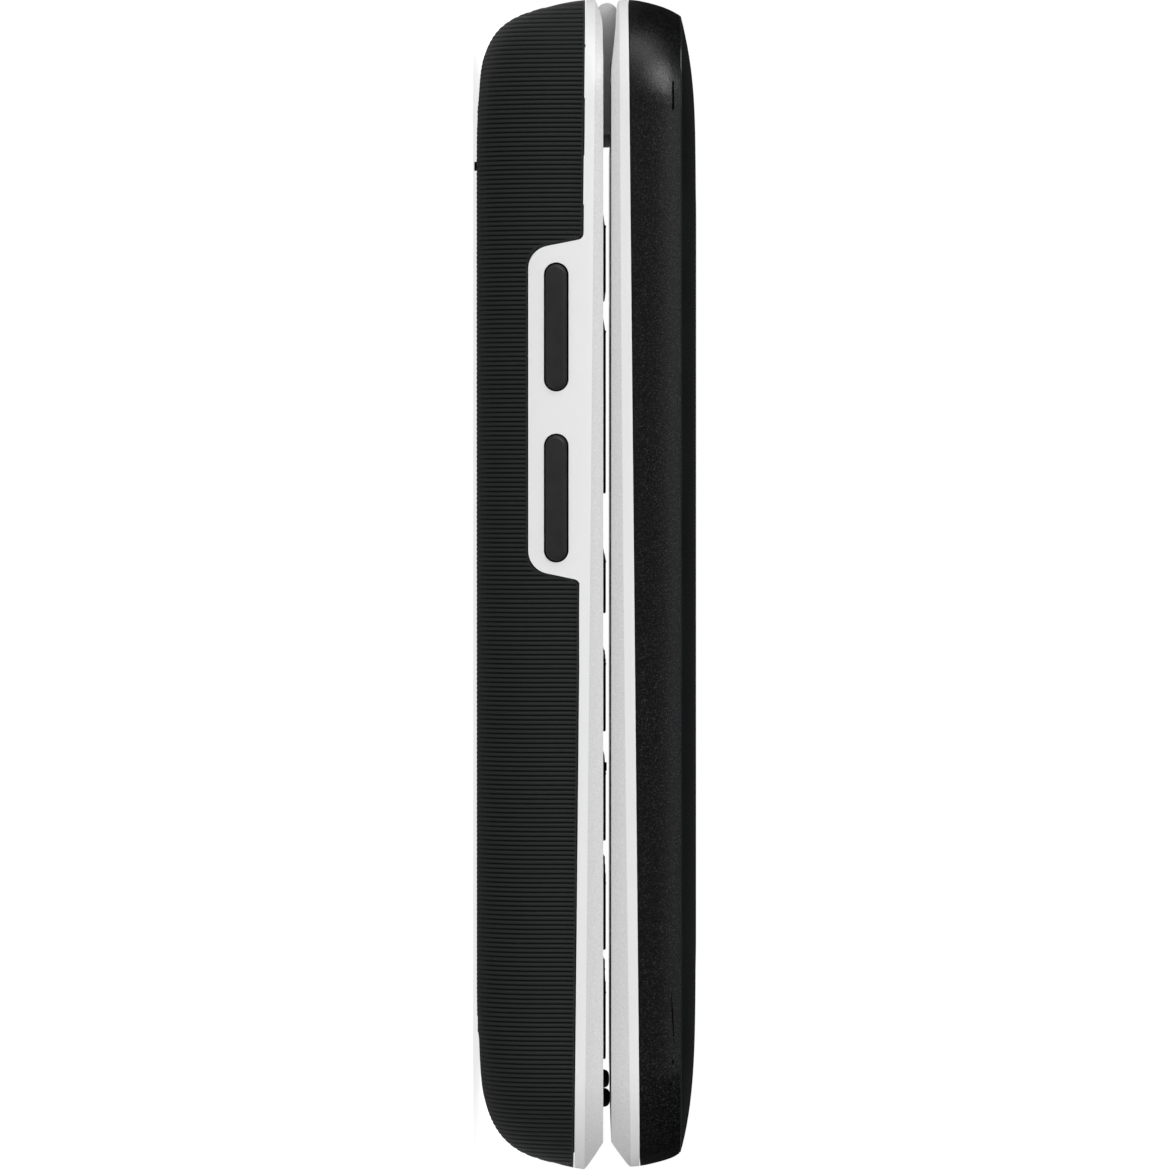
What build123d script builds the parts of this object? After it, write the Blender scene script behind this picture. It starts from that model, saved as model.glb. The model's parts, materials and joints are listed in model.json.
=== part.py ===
"""Flip phone: a hinged clamshell mobile phone, lying on its back with the lid closed.

Frame: +Z up through the thickness, +Y towards the hinge end, +X to the right seen from the lid side.
The origin is at the bottom centre of the closed phone's box. All sizes are in millimetres.
"""
import os

from build123d import *

# ---- Overall size -------------------------------------------------------------------------------
phone_length = 103.0
phone_width = 53.0
plan_corner_radius = 9.0
corner_taper = 0.5              # how fast the corner radius shrinks as a section narrows
standoff_height = 0.30          # two small pips keep the loudspeaker slots off the table
base_thickness = 11.07
parting_gap = 0.70              # air between the closed halves
lid_side_height = 6.13          # inner face of the lid to the crease round its front
front_crown = 1.42              # rise of the domed front above the crease

# ---- Walls and fits -----------------------------------------------------------------------------
wall = 1.2
deck_thickness = 1.0
seam_gap = 0.08                 # line between two cases of one half
key_clearance = 0.15            # all round a key in its opening
running_clearance = 0.05
seat_gap = 0.05                 # between a part and the part that carries it
knuckle_gap = 0.25              # lid to middle knuckle

# ---- Hinge --------------------------------------------------------------------------------------
hinge_setback = 3.15            # axis to the hinge end of the phone
hinge_height = 4.33             # axis above the keypad deck
knuckle_radius = 4.15
knuckle_half_width = 14.3
web_length = 11.7               # hinge end back to the foot of the web in the gap
module_radius = 2.2
module_length = 12.0
cam_shaft_radius = 1.25
cam_head_side = 3.0
cam_head_length = 4.8
pin_radius = 1.5
pin_bore_radius = 1.0
pin_length = 16.0
flex_roll_radius = 0.7
flex_width = 1.8
flex_thickness = 0.2
flex_foot_inset = 9.0           # hinge end to the foot of the flex on the board

# ---- Parting lines ------------------------------------------------------------------------------
base_seam_height = 9.36         # above the table at mid length
lid_seam_height = 14.06
seam_slope = 0.01               # both white frames widen towards the chin by this slope
chin_chamfer_length = 3.0       # thumb lip at the chin, both halves
base_chin_chamfer_height = 1.77
lid_chin_chamfer_height = 1.95

# ---- Side keys ----------------------------------------------------------------------------------
island_hinge_inset = 22.2       # hinge end to the island
island_length = 27.75
island_depth = 6.51             # below the deck
island_flare = 0.95             # the island widens towards the frame
island_corner_radius = 2.0
island_root_radius = 0.6
side_key_width = 1.85
side_key_length = 10.9
side_key_depth = 4.08           # centre line below the deck
side_key_hinge_inset = 28.9     # hinge end to the centre of the upper key
side_key_pitch = 14.85
side_key_proud = 0.30
side_key_travel = 0.30
side_key_flange = 0.35
side_key_flange_thickness = 0.4
side_key_play = 0.75            # flange to the widest inside of the case wall
side_switch_height = 0.3
side_switch_radius = 0.9
switch_strip_width = 2.0

# ---- Keypad -------------------------------------------------------------------------------------
column_pitch = 14.6
key_width = 12.6
keypad_hinge_margin = 18.4      # hinge end to the soft keys
keypad_chin_margin = 9.92       # chin end to the lowest row
soft_height = 7.4
soft_gap = 1.8                  # soft keys to the navigation ring
nav_height = 15.8
nav_gap = 4.3                   # navigation ring to the shortcut row
shortcut_height = 6.2
shortcut_gap = 2.78             # shortcut row to the digits
row_gap = 2.0
key_proud = 0.19
key_travel = 0.25
key_slope_length = 1.8          # the upper edge of a key dips into the deck over this length
key_corner_radius = 1.6
key_flange = 0.22
key_flange_thickness = 0.5
key_play = 0.25                 # flange to the underside of the deck
soft_width = 17.4
soft_offset = 12.2
nav_width = 17.0
nav_corner_radius = 5.0
ok_radius = 3.3
call_width = 11.2
call_offset = 15.3
pip_radius = 0.4
pip_height = 0.14

# ---- Stops and pip ------------------------------------------------------------------------------
bumper_radius = 0.85
bumper_inset = 5.74             # from the chin end
bumper_offset = 10.0
bumper_sink = 0.4
bumper_gap = 0.06
pip_back_radius = 0.4
pip_back_inset = 14.5           # from the hinge end
pip_back_offset = 14.0          # each side of the middle

# ---- Inside the base ----------------------------------------------------------------------------
board_thickness = 0.8
dome_sheet_thickness = 0.2
dome_gap = 0.12                 # pressed key to the dome sheet
board_clearance = 2.1           # board edge to the inner wall
chassis_thickness = 1.0
chassis_gap = 0.3
battery_width = 36.0
battery_chin_inset = 21.5
battery_hinge_inset = 31.5
battery_thickness = 5.0
battery_gap = 0.2
contacts_width = 10.0
contacts_length = 2.0
contacts_height = 3.0
contact_pitch = 3.0
contact_width = 1.2
rail_thickness = 1.0
sim_width = 25.0
sim_length = 15.0
shield_width = 30.0
shield_length = 12.0
sheet_metal = 0.3
antenna_offset = 7.0            # from the middle
antenna_width = 10.0
antenna_length = 1.3
antenna_height = 3.4
antenna_chin_inset = 3.4
usb_width = 7.6
usb_height = 2.6
usb_length = 5.6
usb_mouth_margin = 0.3
jack_bore_radius = 1.75
jack_body = 5.0
jack_length = 12.0
jack_inset = 18.5               # from the hinge end
jack_collar_radius = 2.3
jack_collar_inset = 1.2         # side of the phone to the mouth of the jack
speaker_width = 15.0
speaker_length = 11.0
speaker_thickness = 3.5
speaker_inset = 19.5            # from the hinge end
motor_offset = 16.0             # from the middle
motor_inset = 19.0              # from the hinge end
motor_radius = 5.0
motor_thickness = 2.7
motor_shaft_radius = 1.2
mic_radius = 2.0
mic_thickness = 1.0
boss_radius = 1.6
screw_shank_radius = 0.75
screw_head_radius = 1.4
screw_head_thickness = 0.8
screw_inset_x = 3.9             # from the side
screw_inset_hinge = 10.5
screw_inset_chin = 7.6
slot_count = 5
slot_width = 0.9
slot_length = 8.0
slot_pitch = 1.9

# ---- Inside the lid -----------------------------------------------------------------------------
lid_plate = 1.4
panel_proud = 0.07
panel_recess = 0.80
panel_side = 3.3                # panel edge to the side of the lid
panel_hinge_inset = 12.1
panel_chin_inset = 6.7
panel_corner_radius = 5.0
display_width = 42.0
display_thickness = 2.1
display_hinge_margin = 22.0     # hinge end to the display
display_chin_margin = 23.0      # chin end to the display
display_border = 4.0            # display to its window, at both ends
window_width = 38.0
lid_board_thickness = 0.7
shoulder_length = 8.5           # solid shoulders of the lid round the hinge
web_plate = 0.8
cap_plug = 0.75                 # depth of the front cap's plug in the cover
cap_plug_inset = 1.3
cap_plug_hinge_inset = 9.5
cap_edge = 0.10
front_display_width = 27.0
front_display_length = 30.0
front_display_inset = 43.5      # hinge end to the middle of the front display
front_display_roof = 1.1        # cap left above the front display
camera_inset = 20.5             # from the hinge end
camera_side = 8.0
camera_barrel_radius = 2.6
camera_aperture_radius = 1.3
camera_body_drop = 1.35         # crown down to the camera body
camera_barrel_drop = 0.75
camera_window_drop = 0.15
camera_window_thickness = 0.5
camera_window_radius = 3.0
camera_ring_width = 0.9
camera_ring_proud = 0.04
earpiece_width = 12.0
earpiece_length = 6.0
earpiece_thickness = 2.4
earpiece_inset = 11.5           # from the chin end
earpiece_slot = 9.0
magnet_radius = 2.0
magnet_side = 10.0              # from the side of the phone
magnet_thickness = 1.5
plug_radius = 1.5
plug_thickness = 0.5
lid_screw_inset_x = 7.0
lid_screw_inset = 4.95          # from the chin end

# ---- Levels that follow -------------------------------------------------------------------------
half_length = phone_length / 2
half_width = phone_width / 2
back = standoff_height
deck = back + base_thickness
deck_under = deck - deck_thickness
lid_face = deck + parting_gap
crease = lid_face + lid_side_height
crown = crease + front_crown
hinge_y = half_length - hinge_setback
hinge_z = deck + hinge_height
flange_top = deck_under - key_play
flange_low = flange_top - key_flange_thickness
dome_top = flange_low - key_travel - dome_gap
board_top = dome_top - dome_sheet_thickness - seat_gap
board_low = board_top - board_thickness
chassis_top = board_low - chassis_gap
chassis_low = chassis_top - chassis_thickness
lid_inside = lid_face + lid_plate
web_top = crease - cap_plug - seat_gap
web_low = web_top - web_plate
inner_half_width = half_width - wall
island_top = half_length - island_hinge_inset
island_bottom = island_top - island_length
side_key_first = half_length - side_key_hinge_inset
soft_row = half_length - keypad_hinge_margin - soft_height / 2
nav_centre = soft_row - soft_height / 2 - soft_gap - nav_height / 2
shortcut_row = nav_centre - nav_height / 2 - nav_gap - shortcut_height / 2
digits_top = shortcut_row - shortcut_height / 2 - shortcut_gap
digits_bottom = -half_length + keypad_chin_margin
key_height = (digits_top - digits_bottom - 3 * row_gap) / 4
row_pitch = key_height + row_gap
pip_offset = key_height / 4
first_row = digits_top - key_height / 2
display_length = phone_length - display_hinge_margin - display_chin_margin
window_length = display_length - 2 * display_border
display_centre = half_length - display_hinge_margin - display_length / 2
front_display_centre = half_length - front_display_inset
camera_centre = half_length - camera_inset
battery_low = -half_length + battery_chin_inset
battery_high = half_length - battery_hinge_inset
big = 2 * phone_length

# Stations of the outer shape: (level, inset at the hinge end, inset at the chin end, inset at the sides)
base_stations = [
    (0.0, 9.6, 12.0, 5.0), (0.3, 6.1, 8.0, 3.5), (1.0, 3.8, 4.8, 2.3), (2.2, 2.3, 2.85, 1.3),
    (4.0, 1.27, 1.5, 0.5), (6.4, 0.58, 0.70, 0.1), (9.5, 0.04, 0.06, 0.0), (10.4, 0.0, 0.0, 0.1),
    (base_thickness, 0.0, 0.0, 0.42),
]
lid_stations = [
    (0.0, 0.45, 0.45, 0.42), (0.9, 0.06, 0.32, 0.1), (1.65, 0.02, 0.30, 0.0), (2.85, 0.19, 0.42, 0.03),
    (4.05, 0.49, 0.68, 0.2), (5.15, 0.89, 0.99, 0.52), (lid_side_height, 1.42, 1.54, 1.0),
]
front_stations = [
    (0.0, 1.42, 1.54, 1.0), (0.45, 3.3, 3.3, 2.0), (0.95, 6.2, 6.4, 4.0), (1.28, 10.4, 11.2, 7.5),
    (front_crown, 17.0, 18.0, 12.5),
]
# Groove at the hinge end between the halves: (distance to the hinge end, depth)
base_groove = [(5.3, 0.0), (3.5, 0.04), (1.74, 0.18), (0.85, 0.44), (-0.2, 0.8)]
lid_groove = [(6.4, 0.0), (5.3, 0.13), (3.85, 0.27), (2.6, 0.38), (0.85, 0.49), (-0.1, 0.70)]


# ---- Helpers ------------------------------------------------------------------------------------
def block(x0, x1, y0, y1, z0, z1):
    """Box between two corners."""
    return Pos((x0 + x1) / 2, (y0 + y1) / 2, (z0 + z1) / 2) * Box(x1 - x0, y1 - y0, z1 - z0)


def slab(face, z0, z1):
    """Plan face raised from one level to another."""
    return extrude(Pos(0, 0, z0) * face, amount=z1 - z0)


def plate(width, length, radius, y, z0, z1, x=0.0):
    """Rounded plate centred on (x, y)."""
    return slab(Pos(x, y) * RectangleRounded(width, length, radius), z0, z1)


def post(radius, x, y, z0, z1):
    """Upright round bar."""
    return slab(Pos(x, y) * Circle(radius), z0, z1)


def across(face, x0, x1):
    """Side-view face, drawn in Y and Z, drawn out along X."""
    return extrude(Plane.YZ.offset(x0) * face, amount=x1 - x0)


def rod(radius, x0, x1, y, z):
    """Round bar along X."""
    return across(Pos(y, z) * Circle(radius), x0, x1)


def side_shape(*points):
    """Closed straight-sided face in side view."""
    return make_face(Polyline(*points, close=True))


def shell_body(stations, floor, inset=0.0, lift=0.0):
    """Smooth body through plan sections, each shrunk by the inset and raised by the lift."""
    sections = []
    for level, hinge_inset, chin_inset, side_inset in stations:
        low = -half_length + chin_inset + inset
        high = half_length - hinge_inset - inset
        width = phone_width - 2 * (side_inset + inset)
        radius = plan_corner_radius - corner_taper * side_inset - inset
        outline = RectangleRounded(width, high - low, radius)
        sections.append(Pos(0, (low + high) / 2, floor + level + lift) * outline)
    return loft(sections)


def screw(x, y, z_seat, z_tip, head_down=True):
    """Pan head screw whose head rests on the seat level."""
    head_end = z_seat - screw_head_thickness if head_down else z_seat + screw_head_thickness
    head = post(screw_head_radius, x, y, min(z_seat, head_end), max(z_seat, head_end))
    shank = post(screw_shank_radius, x, y, min(z_seat, z_tip), max(z_seat, z_tip))
    drive = post(screw_shank_radius * 0.7, x, y, head_end - 0.3, head_end + 0.3)
    return head + shank - drive


# ---- Outer shapes of the two halves -------------------------------------------------------------
def base_end_cuts():
    """What the hinge groove and the thumb lip take from the base."""
    curve = [(half_length - inset, deck - depth) for inset, depth in base_groove]
    groove = make_face(
        Spline(*curve)
        + Polyline(curve[-1], (curve[-1][0], deck + 1), (curve[0][0], deck + 1), curve[0])
    )
    run = 1.5 * chin_chamfer_length
    rise = 1.5 * base_chin_chamfer_height
    lip_y = -half_length + chin_chamfer_length
    lip = side_shape((lip_y, deck), (lip_y - run, deck - rise), (lip_y - run, deck + 1), (lip_y, deck + 1))
    return across(groove, -big, big) + across(lip, -big, big)


def lid_end_cuts():
    """What the hinge groove and the thumb lip take from the lid."""
    curve = [(half_length - inset, lid_face + depth) for inset, depth in lid_groove]
    groove = make_face(
        Spline(*curve)
        + Polyline(curve[-1], (curve[-1][0], lid_face - 1), (curve[0][0], lid_face - 1), curve[0])
    )
    run = 1.5 * chin_chamfer_length
    rise = 1.5 * lid_chin_chamfer_height
    lip_y = -half_length + chin_chamfer_length
    lip = side_shape(
        (lip_y, lid_face), (lip_y - run, lid_face + rise), (lip_y - run, lid_face - 1), (lip_y, lid_face - 1)
    )
    return across(groove, -big, big) + across(lip, -big, big)


def seam_level(height, slope, y):
    """Level of a sloping parting line at a place along the phone."""
    return height + slope * y


def above_seam(height, slope, gap=0.0):
    """Everything above a sloping parting line, in side view."""
    ends = [(y, seam_level(height, slope, y) + gap) for y in (-big, big)]
    return side_shape(ends[0], ends[1], (big, big), (-big, big))


def island_region(gap=0.0):
    """Side view of what belongs to the base frame on the side with the keys."""
    low = deck - island_depth - gap
    top, bottom = island_top + gap, island_bottom - gap
    reach = phone_length

    def on_seam(y):
        return (y, seam_level(base_seam_height, seam_slope, y) - gap)

    lower_edge = FilletPolyline(
        on_seam(-reach), on_seam(bottom - island_flare), (bottom, low), (top, low),
        on_seam(top + island_flare), on_seam(reach),
        radius=[island_root_radius, island_corner_radius, island_corner_radius, island_root_radius],
    )
    rest = Polyline(on_seam(reach), (reach, 2 * crown), (-reach, 2 * crown), on_seam(-reach))
    return make_face(lower_edge + rest)


def base_outer():
    return shell_body(base_stations, back) - base_end_cuts()


def base_shell():
    cavity = shell_body(base_stations, back, inset=wall, lift=wall)
    cavity &= block(-big, big, -big, big, 0, deck_under)
    return base_outer() - cavity


def lid_outer():
    return shell_body(lid_stations, lid_face) - lid_end_cuts()


def front_outer():
    """Domed front of the lid, with a short upright edge under the crease."""
    dome = shell_body(front_stations, crease)
    level, hinge_inset, chin_inset, side_inset = front_stations[0]
    edge = shell_body(
        [(-cap_edge, hinge_inset, chin_inset, side_inset), (level, hinge_inset, chin_inset, side_inset)], crease
    )
    return dome + edge


def knuckle_room(grow=0.0):
    """Space round the middle knuckle that the lid leaves free."""
    half = knuckle_half_width + grow
    barrel = rod(knuckle_radius + grow, -half, half, hinge_y, hinge_z)
    return barrel + block(-half, half, hinge_y, big, 0, 2 * crown)


def lid_cavity():
    cavity = shell_body(lid_stations, lid_face, inset=wall)
    return cavity & block(-big, big, -big, half_length - shoulder_length, lid_inside, web_low)


# ---- Keypad layout ------------------------------------------------------------------------------
def key_layout():
    """Name, centre x, centre y, width and height of each key that stands in the deck."""
    digits = ["1", "2", "3", "4", "5", "6", "7", "8", "9", "star", "0", "hash"]
    keys = []
    for index, digit in enumerate(digits):
        x = (index % 3 - 1) * column_pitch
        y = first_row - (index // 3) * row_pitch
        keys.append((f"key_{digit}", x, y, key_width, key_height))
    for index, letter in enumerate("abc"):
        keys.append((f"shortcut_key_{letter}", (index - 1) * column_pitch, shortcut_row, key_width, shortcut_height))
    for name, side in (("left", -1), ("right", 1)):
        keys.append((f"soft_key_{name}", side * soft_offset, soft_row, soft_width, soft_height))
    for name, side in (("call_key", -1), ("end_key", 1)):
        keys.append((name, side * call_offset, nav_centre, call_width, nav_height))
    return keys


def key_opening(x, y, width, height, radius):
    return plate(
        width + 2 * key_clearance, height + 2 * key_clearance, radius + key_clearance,
        y, deck_under - 1, deck + 1, x,
    )


def deck_key(x, y, width, height, radius=key_corner_radius):
    """Key cap with its flange under the deck and its upper edge sloping into the deck."""
    top = deck + key_proud
    cap = plate(width, height, radius, y, flange_low, top, x)
    flange = plate(
        width + 2 * key_flange + 2 * key_clearance, height + 2 * key_flange + 2 * key_clearance,
        radius + key_flange, y, flange_low, flange_top, x,
    )
    edge = y + height / 2
    slope = side_shape(
        (edge - key_slope_length, top), (edge + 1, top - (key_proud + 0.05) * (1 + 1 / key_slope_length)),
        (edge + 1, top + 1), (edge - key_slope_length, top + 1),
    )
    return cap + flange - across(slope, x - width, x + width)


# ---- Base half ----------------------------------------------------------------------------------
def side_key_places():
    return [("volume_up_key", side_key_first), ("volume_down_key", side_key_first - side_key_pitch)]


def pill_x(length, width, y, z, x0, x1):
    """Pill shape lying along Y, drawn out along X."""
    return across(Pos(y, z) * SlotOverall(length, width), x0, x1)


def case_screw_places():
    x = half_width - screw_inset_x
    return [
        (side * x, y) for side in (-1, 1)
        for y in (half_length - screw_inset_hinge, -half_length + screw_inset_chin)
    ]


def bumper_places():
    return [(side * bumper_offset, -half_length + bumper_inset) for side in (-1, 1)]


def middle_knuckle():
    """Knuckle of the base: fills the lid's outline round the axis and reaches the deck by a web."""
    half = knuckle_half_width
    barrel = rod(knuckle_radius, -half, half, hinge_y, hinge_z) & (lid_outer() + front_outer())
    web_y = half_length - web_length
    web_roof = lid_face - seat_gap
    web = across(
        side_shape((web_y, deck - 0.5), (web_y, web_roof), (hinge_y, web_roof), (hinge_y, deck - 0.5)), -half, half
    )
    neck = block(-half, half, hinge_y - 2.2, hinge_y + 2.2, deck - 0.5, hinge_z - 2.5)
    nose_radius = 0.95
    nose_y = half_length - nose_radius - 0.1
    nose = rod(nose_radius, -half, half, nose_y, deck + parting_gap / 2)
    nose += block(-half, half, hinge_y, nose_y, deck - 0.6, deck + parting_gap / 2 + nose_radius)
    return barrel + web + neck + nose


def knuckle_bores():
    """Bores for the hinge module, the hollow pin and the flex that climbs from the board."""
    half = knuckle_half_width
    module = rod(module_radius + seat_gap, -half - 1, -half + module_length + seat_gap, hinge_y, hinge_z)
    pin = rod(pin_radius + running_clearance, 0.0, half + 1, hinge_y, hinge_z)
    chimney = block(
        0.0, flex_width + 0.5, hinge_y - flex_thickness, hinge_y + 2 * flex_thickness, dome_top, hinge_z
    )
    return module + pin + chimney


def make_base_frame():
    region = across(above_seam(base_seam_height, seam_slope), 0, big)
    region += across(island_region(), -big, 0)
    frame = base_shell() & region
    for x, y in case_screw_places():
        boss = post(boss_radius, x, y, board_low, deck_under + 0.3)
        frame += boss - post(screw_shank_radius + seat_gap, x, y, board_low - 1, deck_under - 0.3)
    frame += middle_knuckle()
    frame -= knuckle_bores()
    for name, x, y, width, height in key_layout():
        frame -= key_opening(x, y, width, height, key_corner_radius)
    frame -= key_opening(0, nav_centre, nav_width, nav_height, nav_corner_radius)
    for name, y in side_key_places():
        frame -= pill_x(
            side_key_length + 2 * key_clearance, side_key_width + 2 * key_clearance,
            y, deck - side_key_depth, -half_width - 1, -inner_half_width + side_key_play,
        )
    for x, y in bumper_places():
        frame -= post(bumper_radius, x, y, deck - bumper_sink, deck + 1)
    mic_y = -half_length + bumper_inset
    return frame - post(0.5, 0, mic_y, deck_under - 1, deck + 1)


def make_back_cover():
    region = across(above_seam(base_seam_height, seam_slope, -seam_gap), 0, big)
    region += across(island_region(seam_gap), -big, 0)
    cover = base_shell() - region
    speaker_y = half_length - speaker_inset
    for index in range(slot_count):
        y = speaker_y + (index - (slot_count - 1) / 2) * slot_pitch
        cover -= slab(Pos(0, y) * SlotOverall(slot_length, slot_width), 0, back + 2 * wall)
    cover -= usb_mouth()
    jack_y = half_length - jack_inset
    jack_hole = jack_collar_radius + seat_gap
    cover -= rod(jack_hole, inner_half_width - board_clearance, half_width + 1, jack_y, jack_level())
    pip_y = half_length - pip_back_inset
    for side in (-1, 1):
        cover += post(pip_back_radius, side * pip_back_offset, pip_y, 0, back + 0.4)
    return cover


def usb_mouth():
    mouth = plate_front(usb_width + 2 * usb_mouth_margin, usb_height + 2 * usb_mouth_margin, 1.2)
    return extrude(Pos(0, -half_length - 1, usb_level()) * mouth, amount=-(wall + 3.5))


def plate_front(width, height, radius):
    """Rounded rectangle facing the chin end."""
    return Plane.XZ * RectangleRounded(width, height, radius)


def usb_level():
    return board_low - seat_gap - usb_height / 2


def jack_level():
    return board_low - seat_gap - jack_body / 2


def board_outline(margin=0.0):
    """Plan of the main board, inside the case all round."""
    reach = half_length - wall - 1.2 - margin
    width = 2 * (inner_half_width - board_clearance - margin)
    return RectangleRounded(width, 2 * reach, plan_corner_radius - wall - 1.5)


def make_main_board():
    board = slab(board_outline(), board_low, board_top)
    board &= block(-big, big, -big, half_length - 5.2, 0, crown)
    for x, y in case_screw_places():
        board -= post(boss_radius + 0.2, x, y, 0, crown)
    return board


def make_dome_sheet():
    low = -half_length + bumper_inset + 3.5
    high = soft_row + soft_height / 2 + 1.5
    width = 2 * column_pitch + key_width + 1.0
    return plate(width, high - low, 2.0, (low + high) / 2, board_top + seat_gap, dome_top)


def window(width, length, x, y, z0, z1, gap=chassis_gap):
    """Clear opening round a rectangular part."""
    half_x, half_y = width / 2 + gap, length / 2 + gap
    return block(x - half_x, x + half_x, y - half_y, y + half_y, z0, z1)


sim_place = (-9.0, battery_low + sim_length / 2 + 1.0)
shield_place = (3.0, battery_high - shield_length / 2 - 1.0)
contacts_y = battery_high + 2 * battery_gap
speaker_y = half_length - speaker_inset
usb_y = -half_length + wall + 1.5


def make_chassis():
    """Inner frame between the board and the battery, with rails beside the battery."""
    chassis = slab(board_outline(), chassis_low, chassis_top)
    chassis &= block(-big, big, -half_length + 5.0, half_length - 5.2, 0, crown)
    rail_x = battery_width / 2 + battery_gap
    rail_low = chassis_low - battery_thickness + 1.2
    for side in (-1, 1):
        near, far = sorted((side * rail_x, side * (rail_x + rail_thickness)))
        chassis += block(near, far, battery_low, battery_high, rail_low, chassis_low)
    ridge_x = inner_half_width - board_clearance
    key_low = side_key_first - side_key_pitch - side_key_length / 2
    key_high = side_key_first + side_key_length / 2
    ridge_low = deck - side_key_depth - side_key_width / 2
    chassis += block(-ridge_x, -ridge_x + 1.0, key_low, key_high, ridge_low, chassis_top)
    pad = window(speaker_width, speaker_length, 0, speaker_y, chassis_low - 1.3, chassis_low, 0.5)
    chassis += pad
    for x, y, width, length in chassis_windows():
        chassis -= window(width, length, x, y, 0, crown)
    for x, y in case_screw_places():
        chassis -= post(screw_shank_radius + 0.1, x, y, 0, crown)
    jack_y = half_length - jack_inset
    jack_end = inner_half_width - board_clearance - jack_length - chassis_gap
    jack_room = jack_body / 2 + chassis_gap
    chassis -= block(jack_end, big, jack_y - jack_room, jack_y + jack_room, 0, crown)
    return chassis - block(-usb_width / 2 - 1, usb_width / 2 + 1, -big, usb_y + usb_length + 1, 0, crown)


def chassis_windows():
    return [
        (sim_place[0], sim_place[1], sim_width, sim_length),
        (shield_place[0], shield_place[1], shield_width, shield_length),
        (0.0, contacts_y + contacts_length / 2, contacts_width, contacts_length),
    ]


def make_battery():
    z1 = chassis_low - battery_gap
    middle = (battery_low + battery_high) / 2
    return plate(battery_width, battery_high - battery_low, 1.5, middle, z1 - battery_thickness, z1)


def make_battery_contacts():
    half = contacts_width / 2
    low = chassis_low - contacts_height
    body = block(-half, half, contacts_y, contacts_y + contacts_length, low, board_low - seat_gap)
    for index in (-1, 0, 1):
        x = index * contact_pitch
        body -= block(
            x - contact_width / 2, x + contact_width / 2, contacts_y - 1, contacts_y + contacts_length / 4,
            low + contacts_height / 8, chassis_low - contacts_height / 4,
        )
    return body


def make_sim_holder():
    x, y = sim_place
    holder = block(
        x - sim_width / 2, x + sim_width / 2, y - sim_length / 2, y + sim_length / 2,
        chassis_low + 0.1, board_low - seat_gap,
    )
    slot = block(
        x - sim_width / 2 - 1, x + sim_width / 2 - 2, y - sim_length / 2 + 1.2, y + sim_length / 2 - 1.2,
        chassis_low + 0.4, chassis_low + 0.9,
    )
    return holder - slot


def make_board_shield():
    x, y = shield_place
    width, length = shield_width, shield_length
    low = chassis_low + 2 * seat_gap
    can = plate(width, length, 0.8, y, low, board_low - seat_gap, x)
    inside = plate(width - 2 * sheet_metal, length - 2 * sheet_metal, 0.5, y, low + sheet_metal, board_low, x)
    return can - inside


def make_usb_socket():
    """Metal sleeve with a tongue, mouth towards the chin."""
    z = usb_level()
    sleeve = extrude(Pos(0, usb_y, z) * plate_front(usb_width, usb_height, 0.7), amount=-usb_length)
    mouth = extrude(Pos(0, usb_y, z) * plate_front(usb_width - 0.6, usb_height - 0.6, 0.5), amount=-(usb_length - 0.8))
    tongue = block(-1.8, 1.8, usb_y + 1.0, usb_y + usb_length - 0.5, z + 0.1, z + 0.7)
    return sleeve - mouth + tongue


def make_headset_jack():
    """Socket body with a collar that reaches through the cover."""
    y, z = half_length - jack_inset, jack_level()
    x1 = inner_half_width - board_clearance
    x0 = x1 - jack_length
    half = jack_body / 2
    body = block(x0, x1, y - half, y + half, z - half, z + half)
    body += rod(jack_collar_radius, x1, half_width - jack_collar_inset, y, z)
    return body - rod(jack_bore_radius, x0 + sheet_metal, half_width, y, z)


def make_loudspeaker():
    z1 = chassis_low - 1.3 - seat_gap
    body = plate(speaker_width, speaker_length, 2.0, speaker_y, z1 - speaker_thickness, z1)
    cone = plate(speaker_width - 3, speaker_length - 3, 1.5, speaker_y, z1 - speaker_thickness, z1 - speaker_thickness + 0.5)
    return body - cone


def make_vibration_motor():
    x, y = -motor_offset, half_length - motor_inset
    z1 = chassis_low - seat_gap
    return post(motor_radius, x, y, z1 - motor_thickness, z1) + post(motor_shaft_radius, x, y, z1 - motor_thickness - 0.2, z1)


def make_microphone():
    y = -half_length + bumper_inset
    low = board_top + seat_gap
    return post(mic_radius, 0, y, low, low + mic_thickness) - post(0.5, 0, y, low + mic_thickness - 0.3, crown)


def make_antenna():
    """Folded antenna on its carrier beside the socket at the chin."""
    z1 = board_low - seat_gap
    y0 = -half_length + antenna_chin_inset
    y1 = y0 + antenna_length
    carrier = block(antenna_offset, antenna_offset + antenna_width, y0, y1, z1 - antenna_height, z1)
    pitch = antenna_width / 3.5
    for index in range(3):
        x = antenna_offset + (index + 0.5) * pitch
        carrier -= block(x, x + pitch / 2, y0 - 1, y1 + 1, z1 - 2 * antenna_height, z1 - 0.6 * antenna_height)
    return carrier


def make_side_key_flex():
    """Switch strip on the chassis ridge behind the side keys."""
    ridge_x = inner_half_width - board_clearance
    low = deck - side_key_depth - switch_strip_width / 2
    y0 = side_key_first - side_key_pitch - side_key_length / 2
    y1 = side_key_first + side_key_length / 2
    strip = block(-ridge_x - seat_gap - flex_thickness, -ridge_x - seat_gap, y0, y1, low, low + switch_strip_width)
    for name, y in side_key_places():
        strip += rod(
            side_switch_radius, -ridge_x - seat_gap - flex_thickness - side_switch_height, -ridge_x - seat_gap,
            y, deck - side_key_depth,
        )
    return strip


def make_case_screws():
    screws = [screw(x, y, chassis_low, deck_under - 0.4) for x, y in case_screw_places()]
    return Compound(children=screws)


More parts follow.
